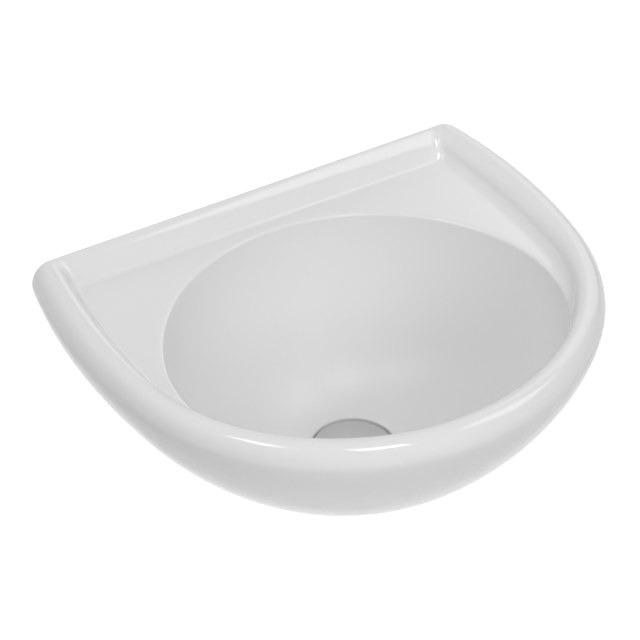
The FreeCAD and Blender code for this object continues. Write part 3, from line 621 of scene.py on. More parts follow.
def rod(name, radius, start, end):
    """Plain cylinder between two points."""
    axis = Vector(end) - Vector(start)
    work = bmesh.new()
    turn = axis.to_track_quat("Z", "Y").to_matrix().to_4x4()
    place = Matrix.Translation((Vector(start) + Vector(end)) / 2) @ turn
    bmesh.ops.create_cone(work, cap_ends=True, segments=ROD_SIDES, radius1=radius, radius2=radius,
                          depth=axis.length, matrix=place)
    return piece_from(name, work)


# ------------------------------ turned and hexagonal pieces

# Play round loose rings and close ones, the second also being the margin under a thread.
LOOSE, CLOSE = 0.3 * MM, 0.2 * MM
SHARP_ANGLE = math.radians(38)
# Points on a rounded corner, and the share of each side that it may take up.
ROUNDING_POINTS, ROUNDING_REACH = 5, 0.45


def rounded(corners, radius, longest):
    """Closed outline with its corners rounded, and its long stretches divided if asked."""
    points = []
    for index, corner in enumerate(corners):
        here = np.array(corner)
        before, after = (np.array(corners[(index + side) % len(corners)]) - here
                         for side in (-1, 1))
        if here[0] == 0.0:
            points.append(here)
            continue
        lengths = np.linalg.norm(before), np.linalg.norm(after)
        room = min(radius, ROUNDING_REACH * lengths[0], ROUNDING_REACH * lengths[1])
        start, end = here + before / lengths[0] * room, here + after / lengths[1] * room
        for part in np.linspace(0.0, 1.0, ROUNDING_POINTS):
            points.append((1 - part) ** 2 * start + 2 * part * (1 - part) * here + part ** 2 * end)
    if longest is None:
        return np.array(points)
    divided = []
    for here, following in zip(points, points[1:] + points[:1]):
        count = max(1, int(np.linalg.norm(following - here) / longest))
        divided += [here + (following - here) * part / count for part in range(count)]
    return np.array(divided)


def tidy_mesh(mesh):
    """Merges doubled points, drops empty faces and turns the faces outwards."""
    work = bmesh.new()
    work.from_mesh(mesh)
    bmesh.ops.remove_doubles(work, verts=work.verts, dist=1e-7)
    bmesh.ops.dissolve_degenerate(work, edges=work.edges, dist=1e-8)
    bmesh.ops.recalc_face_normals(work, faces=work.faces)
    work.to_mesh(mesh)
    work.free()


def turned(name, corners, rounding=0.4 * MM, sides=128, longest=None):
    """Solid of revolution about the Z axis; corners are (distance from the axis, height)."""
    outline = rounded(corners, rounding, longest)
    turn = np.linspace(0.0, 2 * math.pi, sides, endpoint=False)
    away, height = outline[:, 0, None], outline[:, 1, None]
    rings = np.stack((away * np.cos(turn), away * np.sin(turn),
                      np.broadcast_to(height, (len(outline), sides))), axis=-1)
    mesh = grid_mesh(name, rings, closed_profile=True)
    tidy_mesh(mesh)
    return new_object(name, mesh)


def ring(name, bore, radius, low, high, **shape):
    return turned(name, [(bore, low), (radius, low), (radius, high), (bore, high)], **shape)


def stepped_ring(name, bore, radius, neck, heights, **shape):
    """Ring that is narrower, at the neck, above the second of three heights."""
    low, shoulder, high = heights
    return turned(name, [(bore, low), (radius, low), (radius, shoulder), (neck, shoulder),
                         (neck, high), (bore, high)], **shape)


def hexagonal_nut(name, low, high, across_flats, bore):
    """Hexagonal nut about the Z axis with chamfered corners and a countersunk bore."""
    corner, edge, tilt = across_flats / math.sqrt(3), 0.5 * MM, math.radians(30)
    drop = (corner - across_flats / 2) * math.tan(tilt)
    nut = turned(name, [
        (bore + edge, low), (across_flats / 2 - edge, low), (corner, low + drop + edge / 2),
        (corner, high - drop - edge / 2), (across_flats / 2 - edge, high), (bore + edge, high),
        (bore, high - edge), (bore, low + edge)], rounding=0.15 * MM)
    work = bmesh.new()
    bmesh.ops.create_cone(work, cap_ends=True, segments=6, radius1=corner, radius2=corner,
                          depth=(high - low) * 2,
                          matrix=Matrix.Translation((0, 0, (low + high) / 2))
                          @ Matrix.Rotation(tilt, 4, "Z"))
    return cut(nut, piece_from("hexagon", work), "INTERSECT")


def moved_to(piece, matrix):
    """Moves the piece's mesh, so that its object stays at the origin."""
    piece.data.transform(matrix)
    return piece


def on_drain(piece):
    return moved_to(piece, Matrix.Translation((DRAIN.x, DRAIN.y, 0.0)))


def span(node):
    """Lowest and highest level of a CAD node on the drain's axis, and its radius."""
    low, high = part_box(node)
    return low.z, high.z, (high.x - low.x) / 2


def half_spacing(node):
    """Half of the distance between the axes of a CAD node's two round fixings."""
    low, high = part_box(node)
    return (high.x - low.x) / 2 - (high.z - low.z) / 2


# ------------------------------ node trees

class Nodes:
    """Adds nodes to a tree and joins them up."""

    def __init__(self, tree):
        self.tree = tree

    def feed(self, source, socket):
        """Links a socket to another node's output, or sets it to a plain value."""
        if isinstance(source, bpy.types.NodeSocket):
            self.tree.links.new(source, socket)
        else:
            socket.default_value = source

    def node(self, kind, inputs=(), **properties):
        made = self.tree.nodes.new(kind)
        for key, value in properties.items():
            setattr(made, key, value)
        for key, source in dict(inputs).items():
            self.feed(source, made.inputs[key])
        return made

    def result(self, output, kind, inputs=(), **properties):
        """One output of a new node."""
        return self.node(kind, inputs, **properties).outputs[output]

    def calc(self, operation, *sources):
        return self.result("Value", "ShaderNodeMath", enumerate(sources), operation=operation)

    def seen(self):
        """1 for a ray from the camera, off gloss or through glass."""
        path = self.node("ShaderNodeLightPath").outputs
        direct = self.calc("MAXIMUM", path["Is Camera Ray"], path["Is Glossy Ray"])
        return self.calc("MAXIMUM", direct, path["Is Transmission Ray"])


class TreeBuilder(Nodes):
    """A geometry node tree with named inputs that ends in Realize Instances and Set Material."""

    def __init__(self, name, inputs):
        super().__init__(bpy.data.node_groups.new(name, "GeometryNodeTree"))
        self.tree.is_modifier = True
        sockets = [("Geometry", "INPUT", "Geometry")]
        sockets += [(key, "INPUT", "Float") for key in inputs]
        sockets += [("Material", "INPUT", "Material"), ("Geometry", "OUTPUT", "Geometry")]
        for key, side, kind in sockets:
            self.tree.interface.new_socket(key, in_out=side, socket_type="NodeSocket" + kind)
        self.given = self.node("NodeGroupInput").outputs

    def part_of(self, value, start, width):
        """How far a value is past the start, as a share of the width, held between 0 and 1."""
        part = self.calc("DIVIDE", self.calc("SUBTRACT", value, start), width)
        return self.result("Result", "ShaderNodeClamp", {"Value": part})

    def end(self, geometry):
        whole = self.result("Geometry", "GeometryNodeRealizeInstances", {"Geometry": geometry})
        painted = self.result("Geometry", "GeometryNodeSetMaterial", {
            "Geometry": whole, "Material": self.given["Material"]})
        self.node("NodeGroupOutput", {"Geometry": painted})
        return self.tree


# A thread is shallower where the piece is thinner than the first radius, as at a screw's tip.
# The second keeps the division off zero.
FULL_DEPTH_RADIUS, LEAST_RADIUS = 4 * MM, 0.01 * MM
COIL_STEPS, WIRE_SIDES = 48, 14


def thread_tree():
    """Presses a right-hand screw thread about the Z axis into a finely divided solid."""
    build = TreeBuilder("screw_thread", ("Pitch", "Depth", "Low", "High", "Run Out",
                                         "Least Radius", "Crest", "Flank"))
    given, calc = build.given, build.calc
    place = build.result("Position", "GeometryNodeInputPosition")
    x, y, z = build.node("ShaderNodeSeparateXYZ", {"Vector": place}).outputs
    away = calc("SQRT", calc("ADD", calc("MULTIPLY", x, x), calc("MULTIPLY", y, y)))
    turns = calc("DIVIDE", calc("ARCTAN2", y, x), 2 * math.pi)
    phase = calc("FRACT", calc("SUBTRACT", calc("DIVIDE", z, given["Pitch"]), turns))
    wave = calc("MULTIPLY", calc("PINGPONG", phase, 0.5), 2.0)
    groove = build.part_of(wave, given["Crest"], given["Flank"])
    fade = calc("MULTIPLY", build.part_of(z, given["Low"], given["Run Out"]),
                build.part_of(calc("SUBTRACT", given["High"], z), 0.0, given["Run Out"]))
    outside = calc("GREATER_THAN", away, given["Least Radius"])
    thin = calc("MINIMUM", calc("DIVIDE", away, FULL_DEPTH_RADIUS), 1.0)
    depth = given["Depth"]
    for factor in (groove, fade, outside, thin):
        depth = calc("MULTIPLY", depth, factor)
    keep = calc("SUBTRACT", 1.0, calc("DIVIDE", depth, calc("MAXIMUM", away, LEAST_RADIUS)))
    moved = build.result("Vector", "ShaderNodeCombineXYZ", {
        "X": calc("MULTIPLY", x, keep), "Y": calc("MULTIPLY", y, keep), "Z": z})
    return build.end(build.result("Geometry", "GeometryNodeSetPosition", {
        "Geometry": given["Geometry"], "Position": moved}))


def coil_tree():
    """Round wire wound into a helix about the Z axis, standing on the height given."""
    build = TreeBuilder("wound_wire", ("Radius", "Height", "Turns", "Wire", "Base"))
    given, result = build.given, build.result
    helix = result("Curve", "GeometryNodeCurveSpiral", {
        "Resolution": COIL_STEPS, "Rotations": given["Turns"], "Height": given["Height"],
        "Start Radius": given["Radius"], "End Radius": given["Radius"]})
    wire = result("Curve", "GeometryNodeCurvePrimitiveCircle", {
        "Resolution": WIRE_SIDES, "Radius": build.calc("DIVIDE", given["Wire"], 2.0)})
    solid = result("Mesh", "GeometryNodeCurveToMesh", {
        "Curve": helix, "Profile Curve": wire, "Fill Caps": True})
    lift = result("Vector", "ShaderNodeCombineXYZ", {"Z": given["Base"]})
    return build.end(result("Geometry", "GeometryNodeSetPosition", {
        "Geometry": solid, "Offset": lift}))


def run_tree(piece, tree, values):
    """Runs a node tree on the piece and keeps the result as the piece's plain mesh."""
    step = piece.modifiers.new(tree.name, "NODES")
    step.node_group = tree
    for item in tree.interface.items_tree:
        if item.in_out == "INPUT" and item.name in values:
            step[item.identifier] = values[item.name]
    piece.data = applied(piece, step)
    return piece


def press_thread(piece, slot, pitch, depth, low, high, run_out, least=0.0, crest=0.15, flank=0.7):
    """Presses a thread between two levels into the piece, fading over the run-out at both.

    Crest and flank are shares of half the pitch, and nothing inside the least radius moves.
    """
    return run_tree(piece, thread_tree(), {
        "Pitch": pitch, "Depth": depth, "Low": low, "High": high, "Run Out": run_out,
        "Least Radius": least, "Crest": crest, "Flank": flank, "Material": FINISHES[slot]})


# ------------------------------ materials

class Finish(Nodes):
    """A procedural material on Object coordinates."""

    def __init__(self, name, centre=(0.0, 0.0, 0.0)):
        self.material = bpy.data.materials.new(name)
        self.material.use_nodes = True
        super().__init__(self.material.node_tree)
        self.shader = self.tree.nodes["Principled BSDF"]
        place = self.node("ShaderNodeTexCoord").outputs
        self.place = self.result("Vector", "ShaderNodeMapping", {
            "Location": [-part for part in centre], "Vector": place["Object"]})
        self.facing = place["Normal"]

    def shade(self, **values):
        """Sets or links inputs of the shader, with _ for each space in a name."""
        for key, value in values.items():
            self.feed(value, self.shader.inputs[key.replace("_", " ")])

    def noise(self, scale, detail=2.0):
        return self.result("Fac", "ShaderNodeTexNoise", {
            "Scale": scale, "Detail": detail, "Vector": self.place})

    def rings(self, scale, blur):
        """Fine concentric marks about the Z axis, as a lathe leaves them."""
        return self.result("Fac", "ShaderNodeTexWave", {
            "Scale": scale, "Distortion": blur, "Detail": 2.0, "Detail Scale": 2.0,
            "Vector": self.place}, wave_type="RINGS", rings_direction="Z")

    def ramp(self, value, start, end, low=0.0):
        """From low to 1 as a value goes from start up or down to end, smooth at both."""
        first, last = (low, 1.0) if start < end else (1.0, low)
        return self.result("Result", "ShaderNodeMapRange", {
            "Value": value, "From Min": min(start, end), "From Max": max(start, end),
            "To Min": first, "To Max": last}, interpolation_type="SMOOTHSTEP")

    def height(self, vector):
        return self.result("Z", "ShaderNodeSeparateXYZ", {"Vector": vector})

    def colour(self, pattern, base, darkest):
        """Base colour that goes down to its darkest share in the pattern."""
        dark = [part * darkest for part in base]
        self.shade(Base_Color=self.result("Result", "ShaderNodeMix", {
            "A": (*dark, 1.0), "B": (*base, 1.0), "Factor": pattern}, data_type="RGBA"))

    def roughness(self, pattern, low, high):
        self.shade(Roughness=self.result("Result", "ShaderNodeMapRange", {
            "To Min": low, "To Max": high, "Value": pattern}))

    def bump(self, pattern, strength, distance):
        self.shade(Normal=self.result("Normal", "ShaderNodeBump", {
            "Strength": strength, "Distance": distance, "Height": pattern}))


FINISHES = {}
# Level at which the bowl's duller glaze begins and where it is complete, and the two roughnesses.
GLAZE_DULL_LEVELS = (60 * MM, 54 * MM)
GLAZE_ROUGHNESS = (0.07, 0.36)
# A surface takes the duller glaze as its normal's height goes from the first to the second.
GLAZE_DULL_FACING = (-0.2, -0.05)


def glaze_material():
    """White glaze with faint waves: a clear gloss, and duller inside the bowl."""
    made = Finish("white_glaze")
    made.shade(IOR=1.5)
    deep = made.ramp(made.height(made.place), *GLAZE_DULL_LEVELS)
    upward = made.ramp(made.height(made.facing), *GLAZE_DULL_FACING)
    made.roughness(made.calc("MULTIPLY", deep, upward), *GLAZE_ROUGHNESS)
    made.colour(made.noise(14.0), settings("colours").glaze, darkest=0.992)
    made.bump(made.noise(45.0, detail=1.0), strength=0.05, distance=0.8 * MM)
    return made.material


def bisque_material():
    """Bare fired clay on the face against the wall: matt, grainy and faintly speckled."""
    made = Finish("bare_ceramic")
    made.colour(made.noise(380.0, detail=6.0), settings("colours").bisque, darkest=0.9)
    made.roughness(made.noise(120.0), low=0.75, high=0.9)
    made.bump(made.noise(1400.0, detail=4.0), strength=0.35, distance=0.3 * MM)
    return made.material


def metal_material(name, base, low, high, lathed, mark_scale, mark_strength, darkest):
    """Metal with lathe marks about the drain's axis, or finely grained, and a change of tone."""
    made = Finish(name, (DRAIN.x, DRAIN.y, 0.0))
    made.shade(Metallic=1.0)
    made.colour(made.noise(60.0, detail=4.0), base, darkest)
    pattern = made.rings(mark_scale, blur=0.6) if lathed else made.noise(mark_scale, detail=3.0)
    made.roughness(pattern, low, high)
    made.bump(pattern, mark_strength, distance=0.1 * MM)
    return made.material


def moulded_material(name, base, low, high, grain_scale, grain_strength, darkest):
    """Rubber or moulded plastic with a fine grain."""
    made = Finish(name)
    made.colour(made.noise(90.0, detail=4.0), base, darkest)
    made.roughness(made.noise(200.0, detail=3.0), low, high)
    made.bump(made.noise(grain_scale, detail=3.0), grain_strength, distance=0.2 * MM)
    return made.material


# slot: name, colour, least and most roughness, lathed, scale and strength of marks, darkest tone
METALS = {
    "satin_chrome": ("satin_chrome", "satin", 0.24, 0.36, True, 900.0, 0.05, 0.94),
    "chromed_brass": ("polished_chrome", "chrome", 0.06, 0.14, False, 90.0, 0.01, 0.94),
    "turned_brass": ("turned_brass", "brass", 0.22, 0.4, True, 700.0, 0.12, 0.8),
    "spring_steel": ("spring_steel", "steel", 0.16, 0.3, False, 600.0, 0.05, 0.94),
    "zinc_steel": ("zinc_plate", "zinc", 0.28, 0.46, False, 240.0, 0.08, 0.86)}
# slot: colour, least and most roughness, scale and strength of the grain, darkest tone
MOULDED = {
    "black_rubber": ("rubber", 0.5, 0.7, 900.0, 0.2, 0.6),
    "white_acetal": ("acetal", 0.3, 0.42, 500.0, 0.04, 0.92),
    "white_nylon": ("nylon", 0.42, 0.58, 700.0, 0.1, 0.92)}


def make_finishes():
    """Fills FINISHES with a material for each of the record's slots."""
    colours = settings("colours")
    FINISHES["glazed_ceramic"] = glaze_material()
    for slot, (name, base, *numbers) in METALS.items():
        FINISHES[slot] = metal_material(name, getattr(colours, base), *numbers)
    for slot, (base, *numbers) in MOULDED.items():
        FINISHES[slot] = moulded_material(slot, getattr(colours, base), *numbers)


def finish(piece, node, slot, body="fixed_basin"):
    """Gives a finished piece its material, smooth shading and body, and hides its CAD node."""
    piece.data.materials.clear()
    piece.data.materials.append(FINISHES[slot])
    for face in piece.data.polygons:
        face.use_smooth = True
        face.material_index = 0
    piece.data.set_sharp_from_angle(angle=SHARP_ANGLE)
    if body is not None:
        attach(piece, body)
    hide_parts(node)


# ------------------------------ operators

# A face is bare clay within the first distance of the wall if its normal is nearly towards it.
WALL_FACE, TOWARDS_WALL = 0.2 * MM, 0.9
HOLE_PAST, SEAL_SLOPE, CARTRIDGE_LID = 10 * MM, 0.8 * MM, 2 * MM
# How far an arm of the waste reaches into hub and tube, its rounding, and what counts as along it.
ARM_LAP, ARM_ROUNDING, ALONG = 1 * MM, 0.6 * MM, 0.9


class BASIN_OT_ceramic(Operator):
    """Build the glazed ceramic with its bowl, hull, hollow back and fixing holes"""
    bl_idname = "basin.ceramic"
    bl_label = "Ceramic"

    def execute(self, context):
        hull, side = settings("hull"), half_spacing("fixing_bushes")
        ceramic = new_object("ceramic", ceramic_shell())
        cut(ceramic, hollow_solid())
        cut(ceramic, underside_solid())
        for x in (-side, side):
            cut(ceramic, rod("hole", hull.fixing_radius, (x, HOLE_PAST, 0.0),
                             (x, -hull.back_plate - HOLE_PAST, 0.0)))
        finish(ceramic, "basin", "glazed_ceramic")
        ceramic.data.materials.append(bisque_material())
        for face in ceramic.data.polygons:
            if face.center.y > -WALL_FACE and face.normal.y > TOWARDS_WALL:
                face.material_index = 1
        return {"FINISHED"}


class BASIN_OT_plug(Operator):
    """Build the cover with its seal and the plunger that carries them"""
    bl_idname = "basin.plug"
    bl_label = "Plug"

    def execute(self, context):
        waste = settings("waste")
        boss = waste.cap_boss
        low, high, radius = span("plug_cap")
        under = high - waste.cap_thickness
        cap = turned("cover", [(0.0, high), (radius, high), (radius, under), (boss, under),
                               (boss, low), (0.0, low)], rounding=0.9 * MM, sides=192)
        finish(on_drain(cap), "plug_cap", "satin_chrome", "plug")
        low, high, radius = span("plug_seal")
        seal = turned("cover_seal", [(boss, high), (radius, high), (radius - SEAL_SLOPE, low),
                                     (boss, low)])
        finish(on_drain(seal), "plug_seal", "black_rubber", "plug")
        low, high, radius = span("plunger")
        foot = low + waste.tail
        top, thin = foot + waste.foot_height, waste.rod - 1 * MM
        plunger = turned("plunger_rod", [
            (0.0, low), (thin, low), (thin, foot), (radius, foot), (radius, top),
            (waste.rod, top), (waste.rod, high), (0.0, high)], sides=64)
        finish(on_drain(plunger), "plunger", "white_acetal", "plug")
        return {"FINISHED"}


class BASIN_OT_spring(Operator):
    """Wind the spring between the cartridge's floor and the plunger's foot"""
    bl_idname = "basin.spring"
    bl_label = "Spring"

    def execute(self, context):
        waste = settings("waste")
        low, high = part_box("plunger_spring")
        spring = new_object("spring", bpy.data.meshes.new("spring"))
        run_tree(spring, coil_tree(), {
            "Radius": (high.x - low.x) / 2 - waste.wire / 2,
            "Height": high.z - low.z - waste.wire, "Turns": waste.coils, "Wire": waste.wire,
            "Base": low.z + waste.wire / 2, "Material": FINISHES["spring_steel"]})
        finish(on_drain(spring), "plunger_spring", "spring_steel", None)
        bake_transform(spring)
        return {"FINISHED"}


class BASIN_OT_waste(Operator):
    """Build the waste's body, cartridge, nuts, gasket and washer"""
    bl_idname = "basin.waste"
    bl_label = "Waste"

    def execute(self, context):
        self.body()
        self.cartridge()
        waste, neck = settings("waste"), settings("hull").outlet_radius - LOOSE
        for node, name, bore in (("backnut", "back_nut", waste.thread),
                                 ("cartridge_locknut", "lock_nut", waste.sleeve)):
            low, high, radius = span(node)
            nut = hexagonal_nut(name, low, high, radius * 2, bore)
            finish(on_drain(nut), node, "turned_brass")
        low, high, radius = span("lower_gasket")
        gasket = stepped_ring("gasket", waste.thread, radius, neck,
                              (low, high - waste.gasket_collar, high), rounding=0.7 * MM)
        finish(on_drain(gasket), "lower_gasket", "black_rubber")
        low, high, radius = span("slip_washer")
        washer = ring("slip_ring", waste.thread + LOOSE, radius, low, high)
        finish(on_drain(washer), "slip_washer", "white_nylon")
        return {"FINISHED"}

    def body(self):
        """Flange, sloped seat and threaded tube, with the hub on its three arms."""
        waste = settings("waste")
        thread = waste.thread
        low, high, flange = span("waste_body")
        under, nut_low = high - waste.flange_thickness, span("backnut")[0]
        relief, groove = nut_low - waste.relief, thread - waste.relief
        body = turned("waste_tube", [
            (waste.seat_radius, high), (flange, high), (flange, under), (thread, under),
            (thread, nut_low), (groove, nut_low), (groove, relief), (thread, relief),
            (thread, low), (waste.bore, low), (waste.bore, high - waste.seat_drop)],
            rounding=0.6 * MM, longest=waste.thread_pitch / 9)
        press_thread(body, "chromed_brass", waste.thread_pitch, waste.thread_depth,
                     low=low + 0.5 * MM, high=under - 2 * MM, run_out=1.5 * MM,
                     least=thread - CLOSE, crest=0.16)
        bottom = span("cartridge_locknut")[1]
        top = bottom + waste.hub_height
        parts = [ring("hub", waste.sleeve, waste.hub, bottom, top)]
        parts += [self.arm(math.radians(degrees), bottom, top) for degrees in (0, 120, 240)]
        for part in parts:
            cut(body, part, "UNION")
        finish(on_drain(body), "waste_body", "chromed_brass")

    def arm(self, turn, bottom, top):
        """One arm from the hub to the tube, with its long edges rounded."""
        waste = settings("waste")
        work = bmesh.new()
        inner, outer = waste.hub - ARM_LAP, waste.bore + ARM_LAP
        bmesh.ops.create_cube(work, size=1.0, matrix=Matrix.Rotation(turn, 4, "Z")
                              @ Matrix.Translation(((inner + outer) / 2, 0, (bottom + top) / 2))
                              @ Matrix.Diagonal((outer - inner, waste.arm, top - bottom, 1.0)))
        out = Vector((math.cos(turn), math.sin(turn), 0.0))
        long_edges = [edge for edge in work.edges if abs(
            (edge.verts[1].co - edge.verts[0].co).normalized().dot(out)) > ALONG]
        bmesh.ops.bevel(work, geom=long_edges, offset=ARM_ROUNDING, segments=4, profile=0.5,
                        affect="EDGES")
        bmesh.ops.recalc_face_normals(work, faces=work.faces)
        return piece_from("arm", work)

    def cartridge(self):
        """Sleeve with its collar, its fine outside thread and the chamber for the spring."""
        waste = settings("waste")
        low, high, collar = span("cartridge_housing")
        seat = span("cartridge_locknut")[1] + waste.hub_height
        rim, floor, ceiling = seat + waste.collar_height, low + CARTRIDGE_LID, high - CARTRIDGE_LID
        outer, chamber = waste.sleeve, waste.sleeve - waste.sleeve_wall
        guide, tail_hole = waste.rod + 0.1 * MM, waste.rod - 0.6 * MM
        sleeve = turned("cartridge", [
            (guide, high), (outer, high), (outer, rim), (collar, rim), (collar, seat),
            (outer, seat), (outer, low), (tail_hole, low), (tail_hole, floor),
            (chamber, floor), (chamber, ceiling), (guide, ceiling)],
            sides=96, longest=waste.sleeve_pitch / 7)
        press_thread(sleeve, "turned_brass", waste.sleeve_pitch, waste.sleeve_thread,
                     low=low + 0.5 * MM, high=seat - 0.5 * MM, run_out=1 * MM,
                     least=outer - CLOSE)
        finish(on_drain(sleeve), "cartridge_housing", "turned_brass")


class BASIN_OT_fixings(Operator):
    """Build the studs, bushes, washers and nuts at the wall"""
    bl_idname = "basin.fixings"
    bl_label = "Wall fixings"

    def execute(self, context):
        self.pair("hanger_bolts", "studs", "zinc_steel", self.stud)
        self.pair("fixing_bushes", "bushes", "white_nylon", self.bush)
        self.pair("fixing_washers", "washers", "zinc_steel", self.washer)
        self.pair("fixing_nuts", "nuts", "zinc_steel", self.nut)
        return {"FINISHED"}

    def pair(self, node, name, slot, make):
        """One piece on each side, made about the Z axis and turned into the wall."""
        low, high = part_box(node)
        side = half_spacing("hanger_bolts")
        parts = [moved_to(make(low.y, high.y, (high.z - low.z) / 2),
                          Matrix.Translation((x, 0.0, 0.0))
                          @ Matrix.Rotation(math.radians(-90), 4, "X")) for x in (-side, side)]
        finish(join(name, parts), node, slot)

    def stud(self, start, end, radius):
        """Machine thread in front of the wall, wood-screw thread with a tip inside it."""
        fixings = settings("fixings")
        stud = turned("stud", [(0.0, start), (fixings.thread, start), (fixings.thread, -0.5 * MM),
                               (radius, 0.5 * MM), (radius, fixings.shank), (0.0, end)],
                      rounding=0.9 * MM, sides=56, longest=fixings.pitch / 8)
        press_thread(stud, "zinc_steel", fixings.pitch, fixings.depth,
                     low=start + 0.3 * MM, high=-1 * MM, run_out=1.2 * MM)
        return press_thread(stud, "zinc_steel", fixings.screw_pitch, fixings.screw_depth,
                            low=3 * MM, high=end, run_out=2 * MM, crest=0.12, flank=0.3)

    def bush(self, start, end, radius):
        fixings = settings("fixings")
        return stepped_ring("bush", fixings.thread + CLOSE, radius, fixings.bush_sleeve,
                            (start, start + fixings.bush_collar, end), rounding=0.6 * MM,
                            sides=96)

    def washer(self, start, end, radius):
        return ring("washer", settings("fixings").thread + LOOSE, radius, start, end,
                    rounding=0.3 * MM, sides=96)

    def nut(self, start, end, radius):
        return hexagonal_nut("nut", start, end, radius * math.sqrt(3), settings("fixings").thread)


class BASIN_OT_kept(Operator):
    """Give the CAD pieces that stay their finishes"""
    bl_idname = "basin.kept"
    bl_label = "Kept pieces"

    def execute(self, context):
        for node, slot in (("index_rotor", "white_acetal"), ("flange_seal", "black_rubber")):
            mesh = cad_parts[node].data
            mesh.materials.clear()
            mesh.materials.append(FINISHES[slot])
        return {"FINISHED"}


# ------------------------------ stage

WHITE = (1.0, 1.0, 1.0, 1.0)
CAMERA_PLACE = Vector((-1.0844, -1.9308, 1.6908))
CAMERA_AIM = Vector((-0.0112, -0.1283, 0.0383))
CAMERA_LENS, CAMERA_SENSOR = 201.2, 36.0
FLOOR_HEIGHT, FLOOR_HALF = -0.45, 12.0
FLOOR_COLOUR, FLOOR_ROUGHNESS = (0.58, 0.58, 0.58, 1.0), 0.9
# The floor's own light is weaker under the basin and full from the second distance on.
FLOOR_GLOW = 0.64
FLOOR_NEAR, FLOOR_FAR = 0.9, 2.2
WORLD_LEVEL, WORLD_SEEN = 0.02, 1.0
LIGHT_AIM = Vector((0.0, -0.15, 0.0))
# name, azimuth from the front and elevation in degrees, distance and width in m, watts, in gloss
STUDIO_LIGHTS = (
    ("front", -40, 35, 2.6, 1.6, 10.0, False),
    ("front_right", 15, 35, 2.6, 1.6, 16.5, False),
    ("front_low", -25, 12, 2.6, 1.2, 16.0, False),
    ("left_low", -85, 13, 2.6, 1.2, 4.5, False),
    ("rear", -160, 35, 2.6, 1.6, 24.0, False),
    ("window_right", 122, 29, 2.6, 1.8, 10.0, True),
    ("right_high", 70, 54, 2.4, 1.0, 8.0, True),
    ("softbox_front", 0, 69, 2.2, 0.5, 7.0, True),
    ("softbox_left", -82, 65, 2.2, 0.5, 5.0, True))


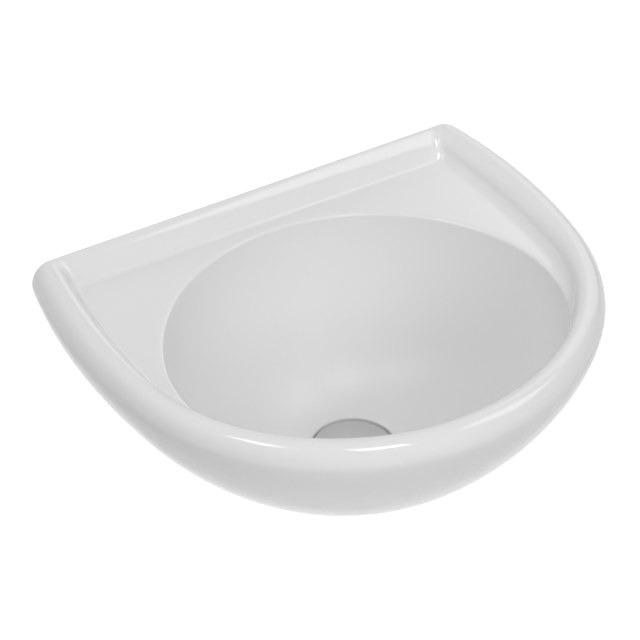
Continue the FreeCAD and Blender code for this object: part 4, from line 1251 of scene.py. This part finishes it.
class BASIN_OT_stage(Operator):
    """Set the white floor, the soft studio light and the camera"""
    bl_idname = "basin.stage"
    bl_label = "Stage"

    def execute(self, context):
        scene = context.scene
        scene.view_settings.view_transform = "Standard"
        data = bpy.data.cameras.new("camera")
        data.lens, data.sensor_width = CAMERA_LENS, CAMERA_SENSOR
        scene.camera = new_object("camera", data)
        scene.camera.location = CAMERA_PLACE
        scene.camera.rotation_euler = (CAMERA_AIM - CAMERA_PLACE).to_track_quat(
            "-Z", "Y").to_euler()
        self.floor()
        self.world(scene)
        for light in STUDIO_LIGHTS:
            self.lamp(*light)
        return {"FINISHED"}

    def lamp(self, name, azimuth, elevation, distance, width, watts, in_gloss):
        """Square lamp aimed at the basin from a direction and a distance."""
        data = bpy.data.lights.new(name, "AREA")
        data.size, data.energy = width, watts
        lamp = new_object(name, data)
        across, up = math.radians(azimuth), math.radians(elevation)
        way = Vector((math.sin(across) * math.cos(up), -math.cos(across) * math.cos(up),
                      math.sin(up)))
        lamp.location = LIGHT_AIM + way * distance
        lamp.rotation_euler = way.to_track_quat("Z", "Y").to_euler()
        lamp.visible_glossy = in_gloss
        lamp.visible_camera = False

    def floor(self):
        """White floor with the basin's soft shadow, clear to a camera below it."""
        mesh = bpy.data.meshes.new("floor")
        mesh.from_pydata([(x * FLOOR_HALF, y * FLOOR_HALF, FLOOR_HEIGHT) for x, y in
                          ((-1, -1), (1, -1), (1, 1), (-1, 1))], [], [(0, 1, 2, 3)])
        floor = new_object("floor", mesh)
        made = Finish("white_floor")
        away = made.result("Value", "ShaderNodeVectorMath", {0: made.place}, operation="LENGTH")
        glow = made.ramp(away, FLOOR_NEAR, FLOOR_FAR, FLOOR_GLOW)
        made.shade(Base_Color=FLOOR_COLOUR, Roughness=FLOOR_ROUGHNESS, Emission_Color=WHITE,
                   Emission_Strength=made.calc("MULTIPLY", made.seen(), glow))
        below = made.calc("MULTIPLY", made.result("Is Camera Ray", "ShaderNodeLightPath"),
                          made.result("Backfacing", "ShaderNodeNewGeometry"))
        surface = made.result("Shader", "ShaderNodeMixShader", {
            "Fac": below, 1: made.shader.outputs["BSDF"],
            2: made.result("BSDF", "ShaderNodeBsdfTransparent")})
        made.feed(surface, made.tree.nodes["Material Output"].inputs["Surface"])
        mesh.materials.append(made.material)

    def world(self, scene):
        """White surroundings for the camera and for gloss, and a low fill for the rest."""
        scene.world = bpy.data.worlds.new("studio")
        scene.world.use_nodes = True
        build = Nodes(scene.world.node_tree)
        back = build.tree.nodes["Background"].inputs
        build.feed(WHITE, back["Color"])
        build.feed(build.result("Result", "ShaderNodeMapRange", {
            "Value": build.seen(), "To Min": WORLD_LEVEL, "To Max": WORLD_SEEN}),
            back["Strength"])


class BASIN_PT_panel(Panel):
    """Sizes, colours and steps of the hand basin"""
    bl_idname = "BASIN_PT_panel"
    bl_label = "Hand basin"
    bl_space_type = "VIEW_3D"
    bl_region_type = "UI"
    bl_category = "Basin"

    def draw(self, context):
        for step in OPERATORS:
            self.layout.operator(step.bl_idname)
        for part in ("rim", "recess", "bowl", "hull", "waste", "fixings", "counts", "colours"):
            group = settings(part)
            box = self.layout.box()
            box.label(text=group.bl_rna.description)
            for key in group.bl_rna.properties.keys():
                if key not in ("rna_type", "name"):
                    box.prop(group, key)


GROUPS = (RimSizes, RecessSizes, BowlSizes, HullSizes, WasteSizes, FixingSizes, MeshCounts,
          FinishColours, BasinSettings)
OPERATORS = (BASIN_OT_ceramic, BASIN_OT_plug, BASIN_OT_spring, BASIN_OT_waste,
             BASIN_OT_fixings, BASIN_OT_kept, BASIN_OT_stage)


def register():
    for cls in GROUPS + OPERATORS + (BASIN_PT_panel,):
        bpy.utils.register_class(cls)
    bpy.types.Scene.basin_settings = PointerProperty(type=BasinSettings)


def unregister():
    del bpy.types.Scene.basin_settings
    for cls in reversed(GROUPS + OPERATORS + (BASIN_PT_panel,)):
        bpy.utils.unregister_class(cls)


def main():
    register()
    make_finishes()
    bpy.ops.basin.ceramic()
    bpy.ops.basin.plug()
    bpy.ops.basin.spring()
    bpy.ops.basin.waste()
    bpy.ops.basin.fixings()
    bpy.ops.basin.kept()
    bpy.ops.basin.stage()


if __name__ == "__main__":
    main()
